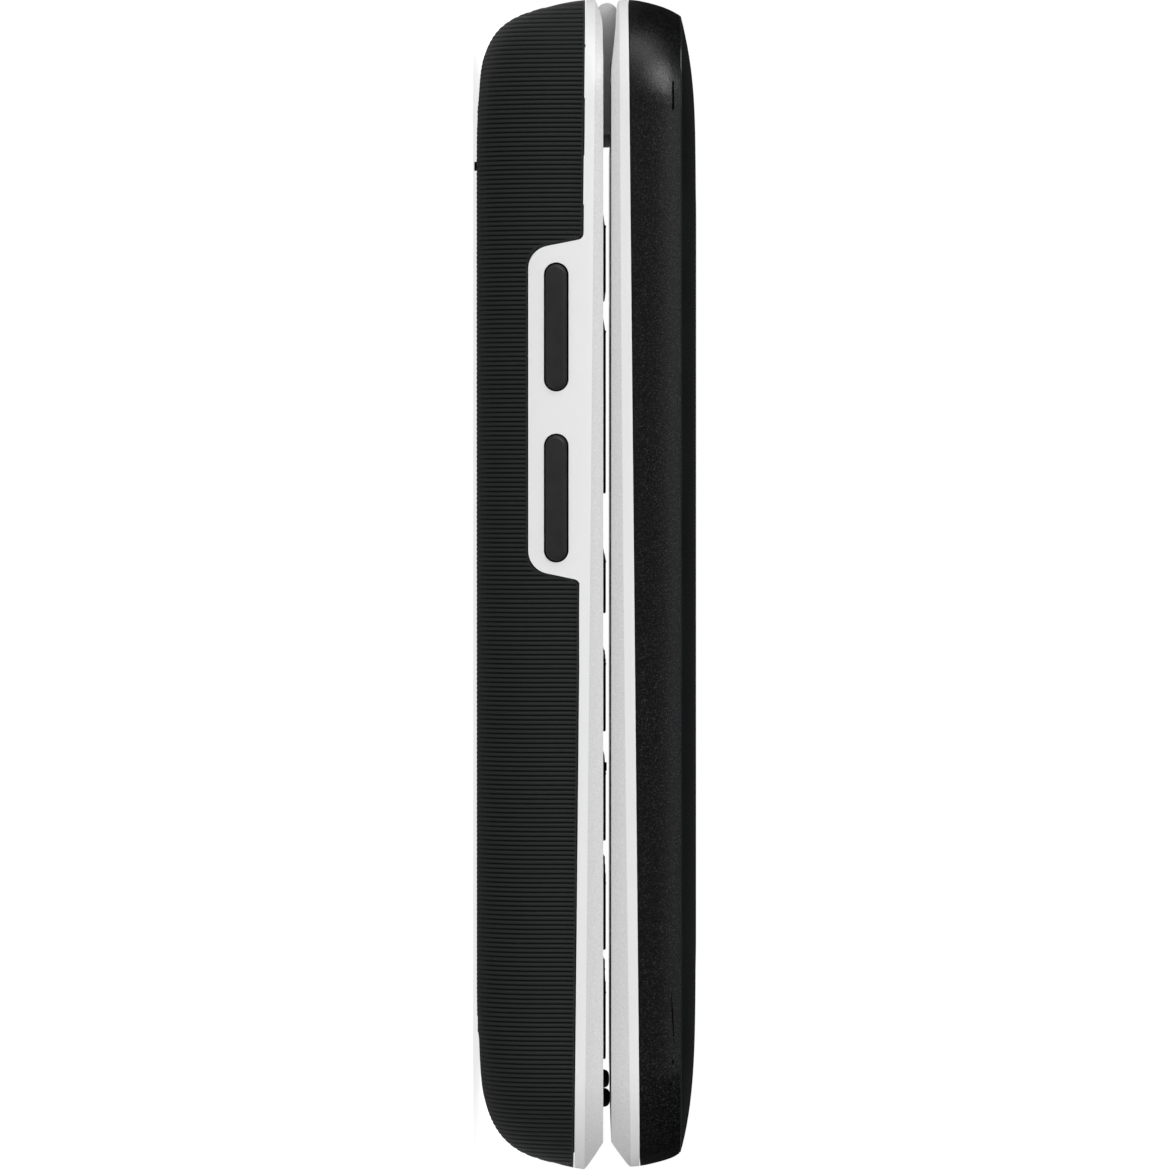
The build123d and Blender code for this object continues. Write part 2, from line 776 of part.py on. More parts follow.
def make_bumpers():
    top = lid_face - bumper_gap
    dots = [
        fillet(post(bumper_radius, x, y, deck - bumper_sink, top).edges().sort_by(Axis.Z)[-1], 0.3)
        for x, y in bumper_places()
    ]
    return Compound(children=dots)


def make_side_key(y):
    z = deck - side_key_depth
    outer = -half_width - side_key_proud
    flange_outer = -inner_half_width + side_key_play
    cap = pill_x(side_key_length, side_key_width, y, z, outer, flange_outer + side_key_flange_thickness)
    cap = chamfer(cap.faces().sort_by(Axis.X)[0].edges(), 0.25)
    grow = 2 * (side_key_flange + key_clearance)
    flange = pill_x(
        side_key_length + grow, side_key_width + grow, y, z,
        flange_outer, flange_outer + side_key_flange_thickness,
    )
    return cap + flange


def make_nav_ring():
    ring = deck_key(0, nav_centre, nav_width, nav_height, nav_corner_radius)
    return ring - post(ok_radius + key_clearance, 0, nav_centre, 0, crown)


def make_ok_key():
    """Round centre key: its flange sits in a pocket under the ring."""
    return post(ok_radius, 0, nav_centre, flange_low, deck + key_proud)


def make_digit_key(name, x, y, width, height):
    key = deck_key(x, y, width, height)
    if name != "key_5":
        return key
    top = deck + key_proud
    return key + post(pip_radius, x, y + pip_offset, top - 0.1, top + pip_height)


# ---- Hinge --------------------------------------------------------------------------------------
def make_hinge_module():
    """Click hinge cartridge pressed into the middle knuckle."""
    x0 = -knuckle_half_width + seat_gap
    body = rod(module_radius, x0, x0 + module_length, hinge_y, hinge_z)
    return body - rod(cam_shaft_radius + running_clearance, x0 - 1, x0 + module_length - 1.5, hinge_y, hinge_z)


def make_hinge_cam_shaft():
    """Shaft of the click hinge with its square head in the lid's shoulder."""
    x_face = -knuckle_half_width - knuckle_gap
    x_end = -knuckle_half_width + module_length - 2.0
    shaft = rod(cam_shaft_radius, x_face, x_end, hinge_y, hinge_z)
    half = cam_head_side / 2
    head = block(
        x_face - cam_head_length, x_face - seat_gap, hinge_y - half, hinge_y + half, hinge_z - half, hinge_z + half
    )
    return shaft + head + rod(cam_shaft_radius, x_face - 1, x_face, hinge_y, hinge_z)


def make_hinge_pin():
    """Hollow pin on the other side, fixed in the lid, with the flex running through it."""
    x0 = knuckle_half_width + knuckle_gap + cam_head_length - pin_length
    pin = rod(pin_radius, x0, x0 + pin_length, hinge_y, hinge_z)
    return pin - rod(pin_bore_radius, x0 - 1, x0 + pin_length + 1, hinge_y, hinge_z)


def make_hinge_flex():
    """Rolled flex in the hollow pin, with its tail down to the main board."""
    x1 = knuckle_half_width + knuckle_gap + cam_head_length
    roll = rod(flex_roll_radius, 0.3, x1, hinge_y, hinge_z)
    tail = block(0.3, 0.3 + flex_width, hinge_y, hinge_y + flex_thickness, board_top + seat_gap, hinge_z)
    foot = block(
        0.3, 0.3 + flex_width, half_length - flex_foot_inset, hinge_y + flex_thickness,
        board_top + seat_gap, board_top + seat_gap + flex_thickness,
    )
    return roll + tail + foot


def make_lid_flex():
    """Flex from the end of the hollow pin to the lid board."""
    x0 = knuckle_half_width + knuckle_gap + cam_head_length + 0.15
    z = lid_board_low() - seat_gap
    y0 = half_length - shoulder_length - 3.0
    return block(x0, x0 + flex_width, y0, hinge_y + 0.6, z - flex_thickness, z)


# ---- Lid half -----------------------------------------------------------------------------------
def lid_board_low():
    return lid_inside + 0.05 + display_thickness + 0.1


def lid_seam(gap=0.0):
    return across(above_seam(lid_seam_height, -seam_slope, gap), -big, big)


def panel_plan(margin):
    low = -half_length + panel_chin_inset - margin
    high = half_length - panel_hinge_inset + margin
    width = phone_width - 2 * panel_side + 2 * margin
    return Pos(0, (low + high) / 2) * RectangleRounded(width, high - low, panel_corner_radius + margin)


def lid_screw_places():
    x = half_width - lid_screw_inset_x
    return [(side * x, -half_length + lid_screw_inset) for side in (-1, 1)]


def make_lid_inner_frame():
    shell = lid_outer() - lid_cavity() - knuckle_room(knuckle_gap)
    frame = shell - lid_seam()
    frame -= slab(panel_plan(seam_gap), lid_face - 1, lid_face + panel_recess + seat_gap)
    frame -= plate(window_width, window_length, 1.0, display_centre, 0, lid_inside + 1)
    ear_y = -half_length + earpiece_inset
    frame -= slab(Pos(0, ear_y) * SlotOverall(earpiece_slot, 1.6), 0, lid_inside + 1)
    for x, y in lid_screw_places():
        frame += post(2.1, x, y, lid_face + 1.0, lid_inside + 0.5)
        frame -= post(plug_radius + seat_gap, x, y, 0, lid_face + plug_thickness + screw_head_thickness + 0.1)
        frame -= post(screw_shank_radius + 0.1, x, y, 0, crown)
    return frame


def make_display_panel():
    """Glossy inner panel with the earpiece slot."""
    low = lid_face - panel_proud
    panel = slab(panel_plan(0), low, lid_face + panel_recess)
    ear_y = -half_length + earpiece_inset
    return panel - slab(Pos(0, ear_y) * SlotOverall(earpiece_slot, 1.2), low - 1, lid_inside)


def make_main_display():
    low = lid_inside + 0.05
    return plate(display_width, display_length, 0.8, display_centre, low, low + display_thickness)


def make_earpiece():
    y = -half_length + earpiece_inset
    low = lid_inside + 0.05
    body = plate(earpiece_width, earpiece_length, 2.0, y, low, low + earpiece_thickness)
    return body - plate(earpiece_width - 3, earpiece_length - 3, 1.0, y, low - 1, low + 0.4)


def make_lid_board():
    low = lid_board_low()
    y0 = -half_length + earpiece_inset + earpiece_length / 2 + 1.0
    y1 = half_length - shoulder_length - 1.0
    width = 2 * (inner_half_width - 2.0)
    return plate(width, y1 - y0, 2.0, (y0 + y1) / 2, low, low + lid_board_thickness)


def make_closing_magnet():
    x, y = -half_width + magnet_side, -half_length + earpiece_inset
    low = lid_inside + seat_gap
    return post(magnet_radius, x, y, low, low + magnet_thickness)


def make_lid_cover():
    shell = lid_outer() - lid_cavity() - knuckle_room(knuckle_gap)
    cover = shell & lid_seam(seam_gap)
    cover &= block(-big, big, -big, big, 0, crease - cap_edge)
    cover -= cap_recess(0.0)
    cover -= window(front_display_width, front_display_length, 0, front_display_centre, web_low - 1, crown)
    cover -= window(camera_side, camera_side, 0, camera_centre, web_low - 1, crown)
    for x, y in lid_screw_places():
        cover += post(1.9, x, y, lid_inside + 0.6, web_low + 0.3)
        cover -= post(screw_shank_radius + seat_gap, x, y, 0, web_low + 0.2)
    return cover - shoulder_bores()


def shoulder_bores():
    """Square socket for the cam shaft, bore for the hollow pin and the channel of the flex."""
    x_face = knuckle_half_width + knuckle_gap
    half = cam_head_side / 2 + 0.03
    socket = block(
        -x_face - cam_head_length - 0.1, -x_face + 1, hinge_y - half, hinge_y + half, hinge_z - half, hinge_z + half
    )
    pin = rod(pin_radius + 0.02, x_face - 1, x_face + cam_head_length + 0.1, hinge_y, hinge_z)
    z = lid_board_low()
    x0 = x_face + cam_head_length
    channel = block(x0, x0 + flex_width + 0.4, half_length - shoulder_length - 1, hinge_y + 1.0, z - 0.6, z + 0.2)
    return socket + pin + channel


def cap_recess(margin):
    """Room for the front cap's plug in the cover."""
    inset = cap_plug_inset - margin
    low = -half_length + front_stations[0][2] + inset
    high = half_length - cap_plug_hinge_inset + margin
    width = phone_width - 2 * (front_stations[0][3] + inset)
    face = RectangleRounded(width, high - low, plan_corner_radius - front_stations[0][3] - inset)
    return slab(Pos(0, (low + high) / 2) * face, web_top + (seat_gap if margin < 0 else 0), crease)


def make_front_cap():
    """Glossy domed front with a plug that seats in the cover."""
    cap = front_outer() - knuckle_room(knuckle_gap)
    cap += cap_recess(-seam_gap)
    roof = crown - front_display_roof
    cap -= window(front_display_width, front_display_length, 0, front_display_centre, web_top - 1, roof)
    cap -= window(camera_side, camera_side, 0, camera_centre, web_top - 1, crown - camera_body_drop + 0.15)
    return cap - post(camera_window_radius + camera_ring_width, 0, camera_centre, web_top, crown + 1)


def make_front_display():
    low = lid_board_low() + lid_board_thickness + seat_gap
    high = crown - front_display_roof - seat_gap
    return plate(front_display_width, front_display_length, 0.6, front_display_centre, low, high)


def make_camera_module():
    low = lid_board_low() + lid_board_thickness + seat_gap
    barrel_top = crown - camera_barrel_drop
    body = window(camera_side, camera_side, 0, camera_centre, low, crown - camera_body_drop, 0)
    barrel = post(camera_barrel_radius, 0, camera_centre, low, barrel_top)
    return body + barrel - post(camera_aperture_radius, 0, camera_centre, barrel_top - 0.45, crown)


def make_camera_ring():
    outer = camera_window_radius + camera_ring_width - seat_gap
    ring = post(outer, 0, camera_centre, crown - camera_body_drop + seat_gap, crown + camera_ring_proud)
    return ring - post(camera_window_radius, 0, camera_centre, crown - 2, crown + 1)


def make_camera_window():
    high = crown - camera_window_drop
    return post(camera_window_radius - 0.03, 0, camera_centre, high - camera_window_thickness, high)


def make_lid_screws():
    seat = lid_face + plug_thickness + screw_head_thickness + 0.1
    return Compound(children=[screw(x, y, seat, web_low) for x, y in lid_screw_places()])


def make_screw_plugs():
    return Compound(children=[
        post(plug_radius, x, y, lid_face + 0.02, lid_face + plug_thickness) for x, y in lid_screw_places()
    ])


# ---- Export -------------------------------------------------------------------------------------
def all_parts():
    parts = {
        "back_cover": make_back_cover(),
        "base_frame": make_base_frame(),
        "chassis": make_chassis(),
        "main_board": make_main_board(),
        "board_shield": make_board_shield(),
        "battery": make_battery(),
        "battery_contacts": make_battery_contacts(),
        "sim_holder": make_sim_holder(),
        "usb_socket": make_usb_socket(),
        "headset_jack": make_headset_jack(),
        "loudspeaker": make_loudspeaker(),
        "vibration_motor": make_vibration_motor(),
        "microphone": make_microphone(),
        "antenna": make_antenna(),
        "dome_sheet": make_dome_sheet(),
        "side_key_flex": make_side_key_flex(),
        "case_screws": make_case_screws(),
        "lid_bumpers": make_bumpers(),
        "hinge_module": make_hinge_module(),
        "hinge_flex": make_hinge_flex(),
        "nav_ring": make_nav_ring(),
        "ok_key": make_ok_key(),
        "hinge_cam_shaft": make_hinge_cam_shaft(),
        "hinge_pin": make_hinge_pin(),
        "lid_flex": make_lid_flex(),
        "lid_inner_frame": make_lid_inner_frame(),
        "display_panel": make_display_panel(),
        "main_display": make_main_display(),
        "earpiece": make_earpiece(),
        "lid_board": make_lid_board(),
        "closing_magnet": make_closing_magnet(),
        "lid_cover": make_lid_cover(),
        "front_cap": make_front_cap(),
        "front_display": make_front_display(),
        "camera_module": make_camera_module(),
        "camera_ring": make_camera_ring(),
        "camera_window": make_camera_window(),
        "lid_screws": make_lid_screws(),
        "screw_plugs": make_screw_plugs(),
    }
    for name, y in side_key_places():
        parts[name] = make_side_key(y)
    for name, x, y, width, height in key_layout():
        parts[name] = make_digit_key(name, x, y, width, height)
    return parts


os.makedirs("parts", exist_ok=True)
for node, shape in all_parts().items():
    export_step(shape, f"parts/{node}.step")
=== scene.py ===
"""Flip phone: finishes, ribbed battery cover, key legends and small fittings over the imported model.

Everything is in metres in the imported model's frame: +Z through the thickness, +Y towards the hinge.
Sizes are written in millimetres and multiplied by MM.
"""
import json
import math

import bmesh
import bpy
from mathutils import Matrix, Vector
from mathutils.bvhtree import BVHTree


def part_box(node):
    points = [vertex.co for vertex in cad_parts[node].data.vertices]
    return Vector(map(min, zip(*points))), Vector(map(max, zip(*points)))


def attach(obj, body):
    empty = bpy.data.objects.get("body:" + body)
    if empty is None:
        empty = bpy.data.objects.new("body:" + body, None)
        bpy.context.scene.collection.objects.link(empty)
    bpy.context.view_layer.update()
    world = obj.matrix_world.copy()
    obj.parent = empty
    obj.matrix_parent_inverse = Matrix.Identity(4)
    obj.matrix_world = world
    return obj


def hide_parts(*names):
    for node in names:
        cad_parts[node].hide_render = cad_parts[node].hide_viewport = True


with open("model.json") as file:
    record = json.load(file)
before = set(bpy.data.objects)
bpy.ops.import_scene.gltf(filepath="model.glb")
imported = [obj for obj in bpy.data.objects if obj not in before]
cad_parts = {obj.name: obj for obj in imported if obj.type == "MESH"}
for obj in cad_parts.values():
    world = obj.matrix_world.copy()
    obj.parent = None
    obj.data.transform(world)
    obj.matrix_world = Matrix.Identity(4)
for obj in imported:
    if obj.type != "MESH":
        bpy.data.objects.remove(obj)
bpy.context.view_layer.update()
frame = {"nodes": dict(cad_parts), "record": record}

MM = 0.001
slots = {part["node"]: part["material_slot"] for part in frame["record"]["subparts"]}

# ---- Sizes in millimetres, angles in degrees, and shares ------------------------------------------
# Battery cover: its upper border, and what tells its outer skin from the rest of it
phone_width = 53.0
seam_level = 9.28               # at mid length
seam_slope = 0.01
core_reach = (20.0, 44.0)       # half width and half length of the flat core that the skin faces away from
core_level = 8.0
skin_facing = 0.45              # how squarely it does so, as a cosine
pip_level = 0.29                # the faces of the stand-off pips are lower
island_reach = 40.0             # the side key island is nearer to mid length than this
island_probe = (-25.45, 3.5)    # place across and level under it, inside the cover's left wall

# Ribs
rib_pitch = 0.405
rib_depth = 0.11
rib_back = 0.3                  # share of the depth left on the back and the ends
rib_flank = 0.7                 # sideways part of the normal from which the depth is full
rib_crest = 0.50                # shares of the pitch
rib_floor = 0.18
rib_reach = 51.0                # ribs run between plus and minus this along the phone
rib_land = 0.12                 # smooth border of the ribbed face
rib_fade = 0.10                 # and how soon the ribs are full beside it
rib_count = int(2 * rib_reach / rib_pitch)
rib_start = -rib_count * rib_pitch / 2
rib_drop = 0.02                 # first row of the ribbed face under the border
side_steps = 12                 # columns of the ribbed face up a side and round to the back
turn_steps = 10
turn_step = 0.026               # share of the half width
back_shares = (0.6, 0.4)
ray_level = 8.5                 # rays to the back start at this level
ray_drop = 0.03                 # rays to the sides start this far under the border

# Fittings on the battery cover
back_level = 1.0                # the back is under this level, the chin end and right side beyond these
chin_edge = -49.0
right_edge = 20.0
speaker_y = 32.0
speaker_cutout = 10.0
grille_margin = 1.6             # the grille is larger than its cutout by this
grille_corner = 2.4
grille_thickness = 0.28
grille_round = 0.08
grille_level = 0.42             # of its mid thickness
slot_count = 5
slot_length = 8.0
slot_width = 0.9
slot_pitch = 1.9
mouth_z = 6.85
mouth_width = 8.2
mouth_height = 3.2
mouth_corner = 1.2
mouth_band = 0.5                # width of the raised frame
jack_y = 33.0
jack_z = 5.65
jack_hole = 2.6
jack_ring = 2.35
jack_band = 0.7
band_foot = 0.7                 # how deep the raised frames are sunk into the wall
band_profile = ((0.9, 0.05), (0.6, 0.10), (0.35, 0.10), (0.0, 0.04))    # share of the width, height
chin_start = -60.0              # starts of the rays from outside
side_start = 40.0
throw_reach = 16.0              # how far a point is thrown at a surface
tiny = 0.001                    # keeps the straights of a round outline from closing up

# Keys, legends and rubber stops
key_lift = 0.05                 # crown of the keys over their plain tops
key_round = 0.12
side_key_round = 0.06
flat_angle = 1                  # faces that meet at less than this are one face
round_angle = 35                # edges sharper than this get rounded
crease_angle = 32               # edges sharper than this stay creased in the shading
top_slack = 0.01                # points this little under a plain top belong to it
legend_height = 0.02
legend_gap = 0.004              # middle of the ink over the key
figure_size = 4.6
dot_pitch = 1.3
dot_radius = 0.36
ok_dot_radius = 0.55
dash_size = (3.2, 0.5, 0.24)    # length, width, corner
stop_rise = 0.64                # dome of the rubber stops
stop_sides = 40
stop_profile = (                # share of the radius, share of the rise; below zero is the foot
    (1.0, -1.0), (1.0, 0.12), (0.985, 0.32), (0.93, 0.55),
    (0.83, 0.74), (0.66, 0.90), (0.40, 0.98), (0.12, 1.0),
)

# Lid
main_view = (36.7, 48.9, 0.5)   # visible area of a screen: width, height, corner
front_view = (24.0, 24.0, 0.8)
front_start = 30.0              # rays down on the front start at this level
front_rings = 14                # the front is domed, so its screen needs this many rings
gap_lift = 0.006                # painted shade of narrow gaps: dark sheets this far over the lid cover
gap_step = 0.15                 # their points along the phone
# Painted shade: the white frames are coloured darker between these two lines, standing in for the shade of a
# band that turns inwards at the parting
base_shade_strip = (10.22, 0.0094, 0.0)       # edges of the strip beside the parting: level at mid length,
lid_shade_strip = (13.13, -0.010, 0.00006)    # slope and bend

# Studio
floor_half = 900.0
floor_level = -0.02
floor_white = 0.82              # floor as the camera sees it in full shadow, and what it gives the underside
floor_glow = 0.16
room_light = 0.31
gloss_near = 0.15               # what shiny surfaces see of the room on the camera's side, and beyond
gloss_far = 0.02
gloss_turn = 0.5                # heading at which one has given way to the other
backdrop_edge = (0.9975, 0.9992)
full_white = (1.0, 1.0, 1.0, 1.0)


# ---- Camera ---------------------------------------------------------------------------------------
def make_camera():
    """Long lens beside the phone's left edge, with the phone upright in the frame."""
    left_edge, middle = -17.5, 9.83         # plane in which view_height fills the frame, mid thickness
    distance, view_height, rise = 659.0, 103.05, 11.8
    data = bpy.data.cameras.new("studio_camera")
    data.sensor_width = 36.0
    data.lens = data.sensor_width * distance / view_height
    data.clip_start, data.clip_end = 0.05, 10.0
    camera = new_object("studio_camera", data)
    place = Vector((left_edge - distance, rise, middle)) * MM
    back = (place - Vector((left_edge, 0.0, middle)) * MM).normalized()
    right = Vector((0, 1, 0)).cross(back).normalized()
    turn = Matrix((right, back.cross(right), back)).transposed()
    camera.matrix_world = Matrix.Translation(place) @ turn.to_4x4()
    bpy.context.scene.camera = camera


# ---- Node helpers ---------------------------------------------------------------------------------
def colour(code):
    """sRGB hex value as linear red, green, blue and alpha."""
    shares = [int(code[place:place + 2], 16) / 255 for place in (1, 3, 5)]
    linear = [share / 12.92 if share <= 0.04045 else ((share + 0.055) / 1.055) ** 2.4 for share in shares]
    return (*linear, 1.0)


def add_node(tree, kind, inputs=None, **settings):
    """Adds a node, makes its settings, and fills or links its inputs, from a node by its first output."""
    node = tree.nodes.new(kind)
    for name, value in settings.items():
        setattr(node, name, value)
    for name, value in (inputs or {}).items():
        if isinstance(value, bpy.types.Node):
            value = value.outputs[0]
        if isinstance(value, bpy.types.NodeSocket):
            tree.links.new(value, node.inputs[name])
        else:
            node.inputs[name].default_value = value
    return node


def start_finish(name, roughness, **sockets):
    """Material with a Principled shader: gives the material, its tree and the shader."""
    material = bpy.data.materials.new(name)
    material.use_nodes = True
    shader = material.node_tree.nodes["Principled BSDF"]
    shader.inputs["Roughness"].default_value = roughness
    for socket, value in sockets.items():
        shader.inputs[socket.replace("_", " ")].default_value = value
    return material, material.node_tree, shader


def grain(tree, shader, size, depth, spread, detail=2.0):
    """Fine surface texture of a grain size in millimetres: bump, and a roughness that varies by a spread."""
    roughness = shader.inputs["Roughness"].default_value
    place = add_node(tree, "ShaderNodeTexCoord").outputs["Object"]
    noise = add_node(
        tree, "ShaderNodeTexNoise",
        {"Vector": place, "Scale": 1 / (size * MM), "Detail": detail, "Roughness": 0.6},
    ).outputs["Fac"]
    bump = add_node(tree, "ShaderNodeBump", {"Height": noise, "Distance": depth * MM, "Strength": 1.0})
    tree.links.new(bump.outputs["Normal"], shader.inputs["Normal"])
    gloss = add_node(
        tree, "ShaderNodeMapRange",
        {"Value": noise, "From Min": 0.3, "From Max": 0.7,
         "To Min": roughness - spread, "To Max": roughness + spread},
    )
    tree.links.new(gloss.outputs["Result"], shader.inputs["Roughness"])


def tint(tree, shader, factor, low, high, start=0.35, end=0.65):
    """Colour between two hex values after a factor."""
    share = add_node(tree, "ShaderNodeMapRange", {"Value": factor, "From Min": start, "From Max": end})
    mix = add_node(tree, "ShaderNodeMix", {0: share, 6: colour(low), 7: colour(high)}, data_type="RGBA")
    tree.links.new(mix.outputs[2], shader.inputs["Base Color"])


def mottle(tree, size, detail=3.0):
    """Slow cloudy factor, of a size in millimetres."""
    place = add_node(tree, "ShaderNodeTexCoord").outputs["Object"]
    return add_node(
        tree, "ShaderNodeTexNoise", {"Vector": place, "Scale": 1 / (size * MM), "Detail": detail}
    ).outputs["Fac"]


# ---- Finishes -------------------------------------------------------------------------------------
# Tool textures and lacquers have a real grain of 0.02 to 0.06 mm. That is finer than a render shows, so
# it is drawn at 0.05 to 0.16 mm, and the surfaces look grained and not flat.
def ribbed_polycarbonate():
    """Glass-filled polycarbonate from a cut steel mould: dull black, with painted shade that darkens the
    colour down in the grooves.
    """
    material, tree, shader = start_finish("ribbed_polycarbonate", roughness=0.55, Specular_IOR_Level=0.15)
    grain(tree, shader, size=0.06, depth=0.004, spread=0.08)
    groove = add_node(tree, "ShaderNodeAttribute", attribute_name="groove").outputs["Fac"]
    # Painted shade: the colour goes from the crest's black to near-black by how deep a point lies in its
    # groove
    tint(tree, shader, groove, "#232625", "#020202", start=0.05, end=0.65)
    return material


def curved_level(tree, along, line):
    """Height in metres of a slightly bent line at a place along the phone."""
    level, slope, bend = line
    lean = add_node(tree, "ShaderNodeMath", {0: along, 1: bend / MM, 2: slope}, operation="MULTIPLY_ADD")
    return add_node(tree, "ShaderNodeMath", {0: along, 1: lean, 2: level * MM}, operation="MULTIPLY_ADD")


def white_abs():
    """ABS from a spark-eroded tool: neutral white with a soft sheen. The strips on both sides of the
    parting are painted a shade darker, standing in for the shade of a band turned inwards at the parting, and
    the speckle on them is tone that varies at random."""
    material, tree, shader = start_finish("white_abs", roughness=0.42)
    grain(tree, shader, size=0.09, depth=0.004, spread=0.05)
    place = add_node(tree, "ShaderNodeTexCoord").outputs["Object"]
    split = add_node(tree, "ShaderNodeSeparateXYZ", {0: place}).outputs
    low, high = (curved_level(tree, split["Y"], line) for line in (base_shade_strip, lid_shade_strip))
    over = add_node(tree, "ShaderNodeMath", {0: split["Z"], 1: low}, operation="GREATER_THAN")
    under = add_node(tree, "ShaderNodeMath", {0: split["Z"], 1: high}, operation="LESS_THAN")
    shade_strip = add_node(tree, "ShaderNodeMath", {0: over, 1: under}, operation="MULTIPLY")
    speck = add_node(
        tree, "ShaderNodeMapRange",
        {"Value": mottle(tree, 0.14, detail=2.0), "From Min": 0.35, "From Max": 0.65, "To Min": 0.6},
    )
    # Painted shade: inside the strip the colour is darkened towards #C6C6C6, by an amount that varies with
    # the speckle
    painted_shade = add_node(tree, "ShaderNodeMath", {0: shade_strip, 1: speck}, operation="MULTIPLY")
    tint(tree, shader, painted_shade, "#E1E1E1", "#C6C6C6", start=0.0, end=1.0)
    return material


def satin_lacquer():
    """Polycarbonate under satin black lacquer: fine orange-peel, and light specks of random tone in the
    colour that stand in partly for glints of its flakes.
    """
    material, tree, shader = start_finish("satin_lacquer", roughness=0.34, Specular_IOR_Level=0.22)
    grain(tree, shader, size=0.16, depth=0.018, spread=0.06, detail=3.0)
    # Painted glints, in part: the light specks in the black come from the colour, not from the lamps
    tint(tree, shader, mottle(tree, 0.12, detail=2.0), "#010101", "#292A2A", start=0.53, end=0.68)
    return material


def front_acrylic():
    """Hard-coated acrylic printed black from behind: deep gloss with a trace of haze."""
    material, tree, shader = start_finish(
        "front_acrylic", roughness=0.22, Specular_IOR_Level=0.35, Coat_Weight=0.1, Coat_Roughness=0.08
    )
    grain(tree, shader, size=0.8, depth=0.0005, spread=0.03)
    tint(tree, shader, mottle(tree, 9.0), "#111314", "#151819")
    return material


def panel_acrylic():
    """Polished acrylic screen window, printed black from behind: a clear, slightly wavy gloss."""
    material, tree, shader = start_finish("panel_acrylic", roughness=0.10)
    grain(tree, shader, size=1.2, depth=0.001, spread=0.02)
    tint(tree, shader, mottle(tree, 14.0), "#07080A", "#0B0C0E")
    return material


def screen_glass():
    """Glass of a switched-off liquid crystal screen: dark blue-grey from the polariser behind it."""
    material, tree, shader = start_finish("screen_glass", roughness=0.12)
    grain(tree, shader, size=0.18, depth=0.001, spread=0.02)
    tint(tree, shader, mottle(tree, 11.0), "#15191E", "#1B2026")
    return material


def key_lacquer(name, low, high):
    """Polycarbonate key with a scratch-proof matt lacquer: dark, with a fine even tooth."""
    material, tree, shader = start_finish(name, roughness=0.45, Specular_IOR_Level=0.3)
    grain(tree, shader, size=0.07, depth=0.004, spread=0.06)
    tint(tree, shader, mottle(tree, 1.6), low, high)
    return material


def legend_ink(name, low, high):
    """Pad-printed ink: flat opaque colour, slightly uneven in thickness."""
    material, tree, shader = start_finish(name, roughness=0.5)
    grain(tree, shader, size=0.05, depth=0.002, spread=0.05)
    tint(tree, shader, mottle(tree, 0.5), low, high)
    return material


def soft_rubber(name, low, high):
    """Moulded silicone: soft dull surface with a faint bloom."""
    material, tree, shader = start_finish(name, roughness=0.65)
    grain(tree, shader, size=0.10, depth=0.006, spread=0.08)
    tint(tree, shader, mottle(tree, 0.9), low, high)
    return material


def worked_metal(name, code, roughness, step):
    """Machined, rolled or plated metal: fine lines, a step apart in millimetres, spread the highlight."""
    material, tree, shader = start_finish(name, roughness, Metallic=1.0, Base_Color=colour(code))
    grain(tree, shader, size=step, depth=0.003, spread=0.06)
    return material


def plain_moulding(name, low, high, roughness=0.5):
    """Unpainted moulding or film with an even matt surface."""
    material, tree, shader = start_finish(name, roughness)
    grain(tree, shader, size=0.12, depth=0.006, spread=0.06)
    tint(tree, shader, mottle(tree, 3.0), low, high)
    return material


def lens_glass():
    """Coated camera window: near-black glass with a blue cast from its anti-reflection layer."""
    material, tree, shader = start_finish("lens_glass", roughness=0.04)
    grain(tree, shader, size=2.0, depth=0.0005, spread=0.01)
    tint(tree, shader, mottle(tree, 2.5), "#05070C", "#0A1020")
    return material


def gap_shadow():
    """Painted shade of a narrow gap between mouldings: dull near-black without a gleam, slightly uneven in
    tone.
    """
    material, tree, shader = start_finish("gap_shadow", roughness=0.9, Specular_IOR_Level=0.0)
    grain(tree, shader, size=0.08, depth=0.002, spread=0.05)
    tint(tree, shader, mottle(tree, 0.3), "#020202", "#060606")
    return material


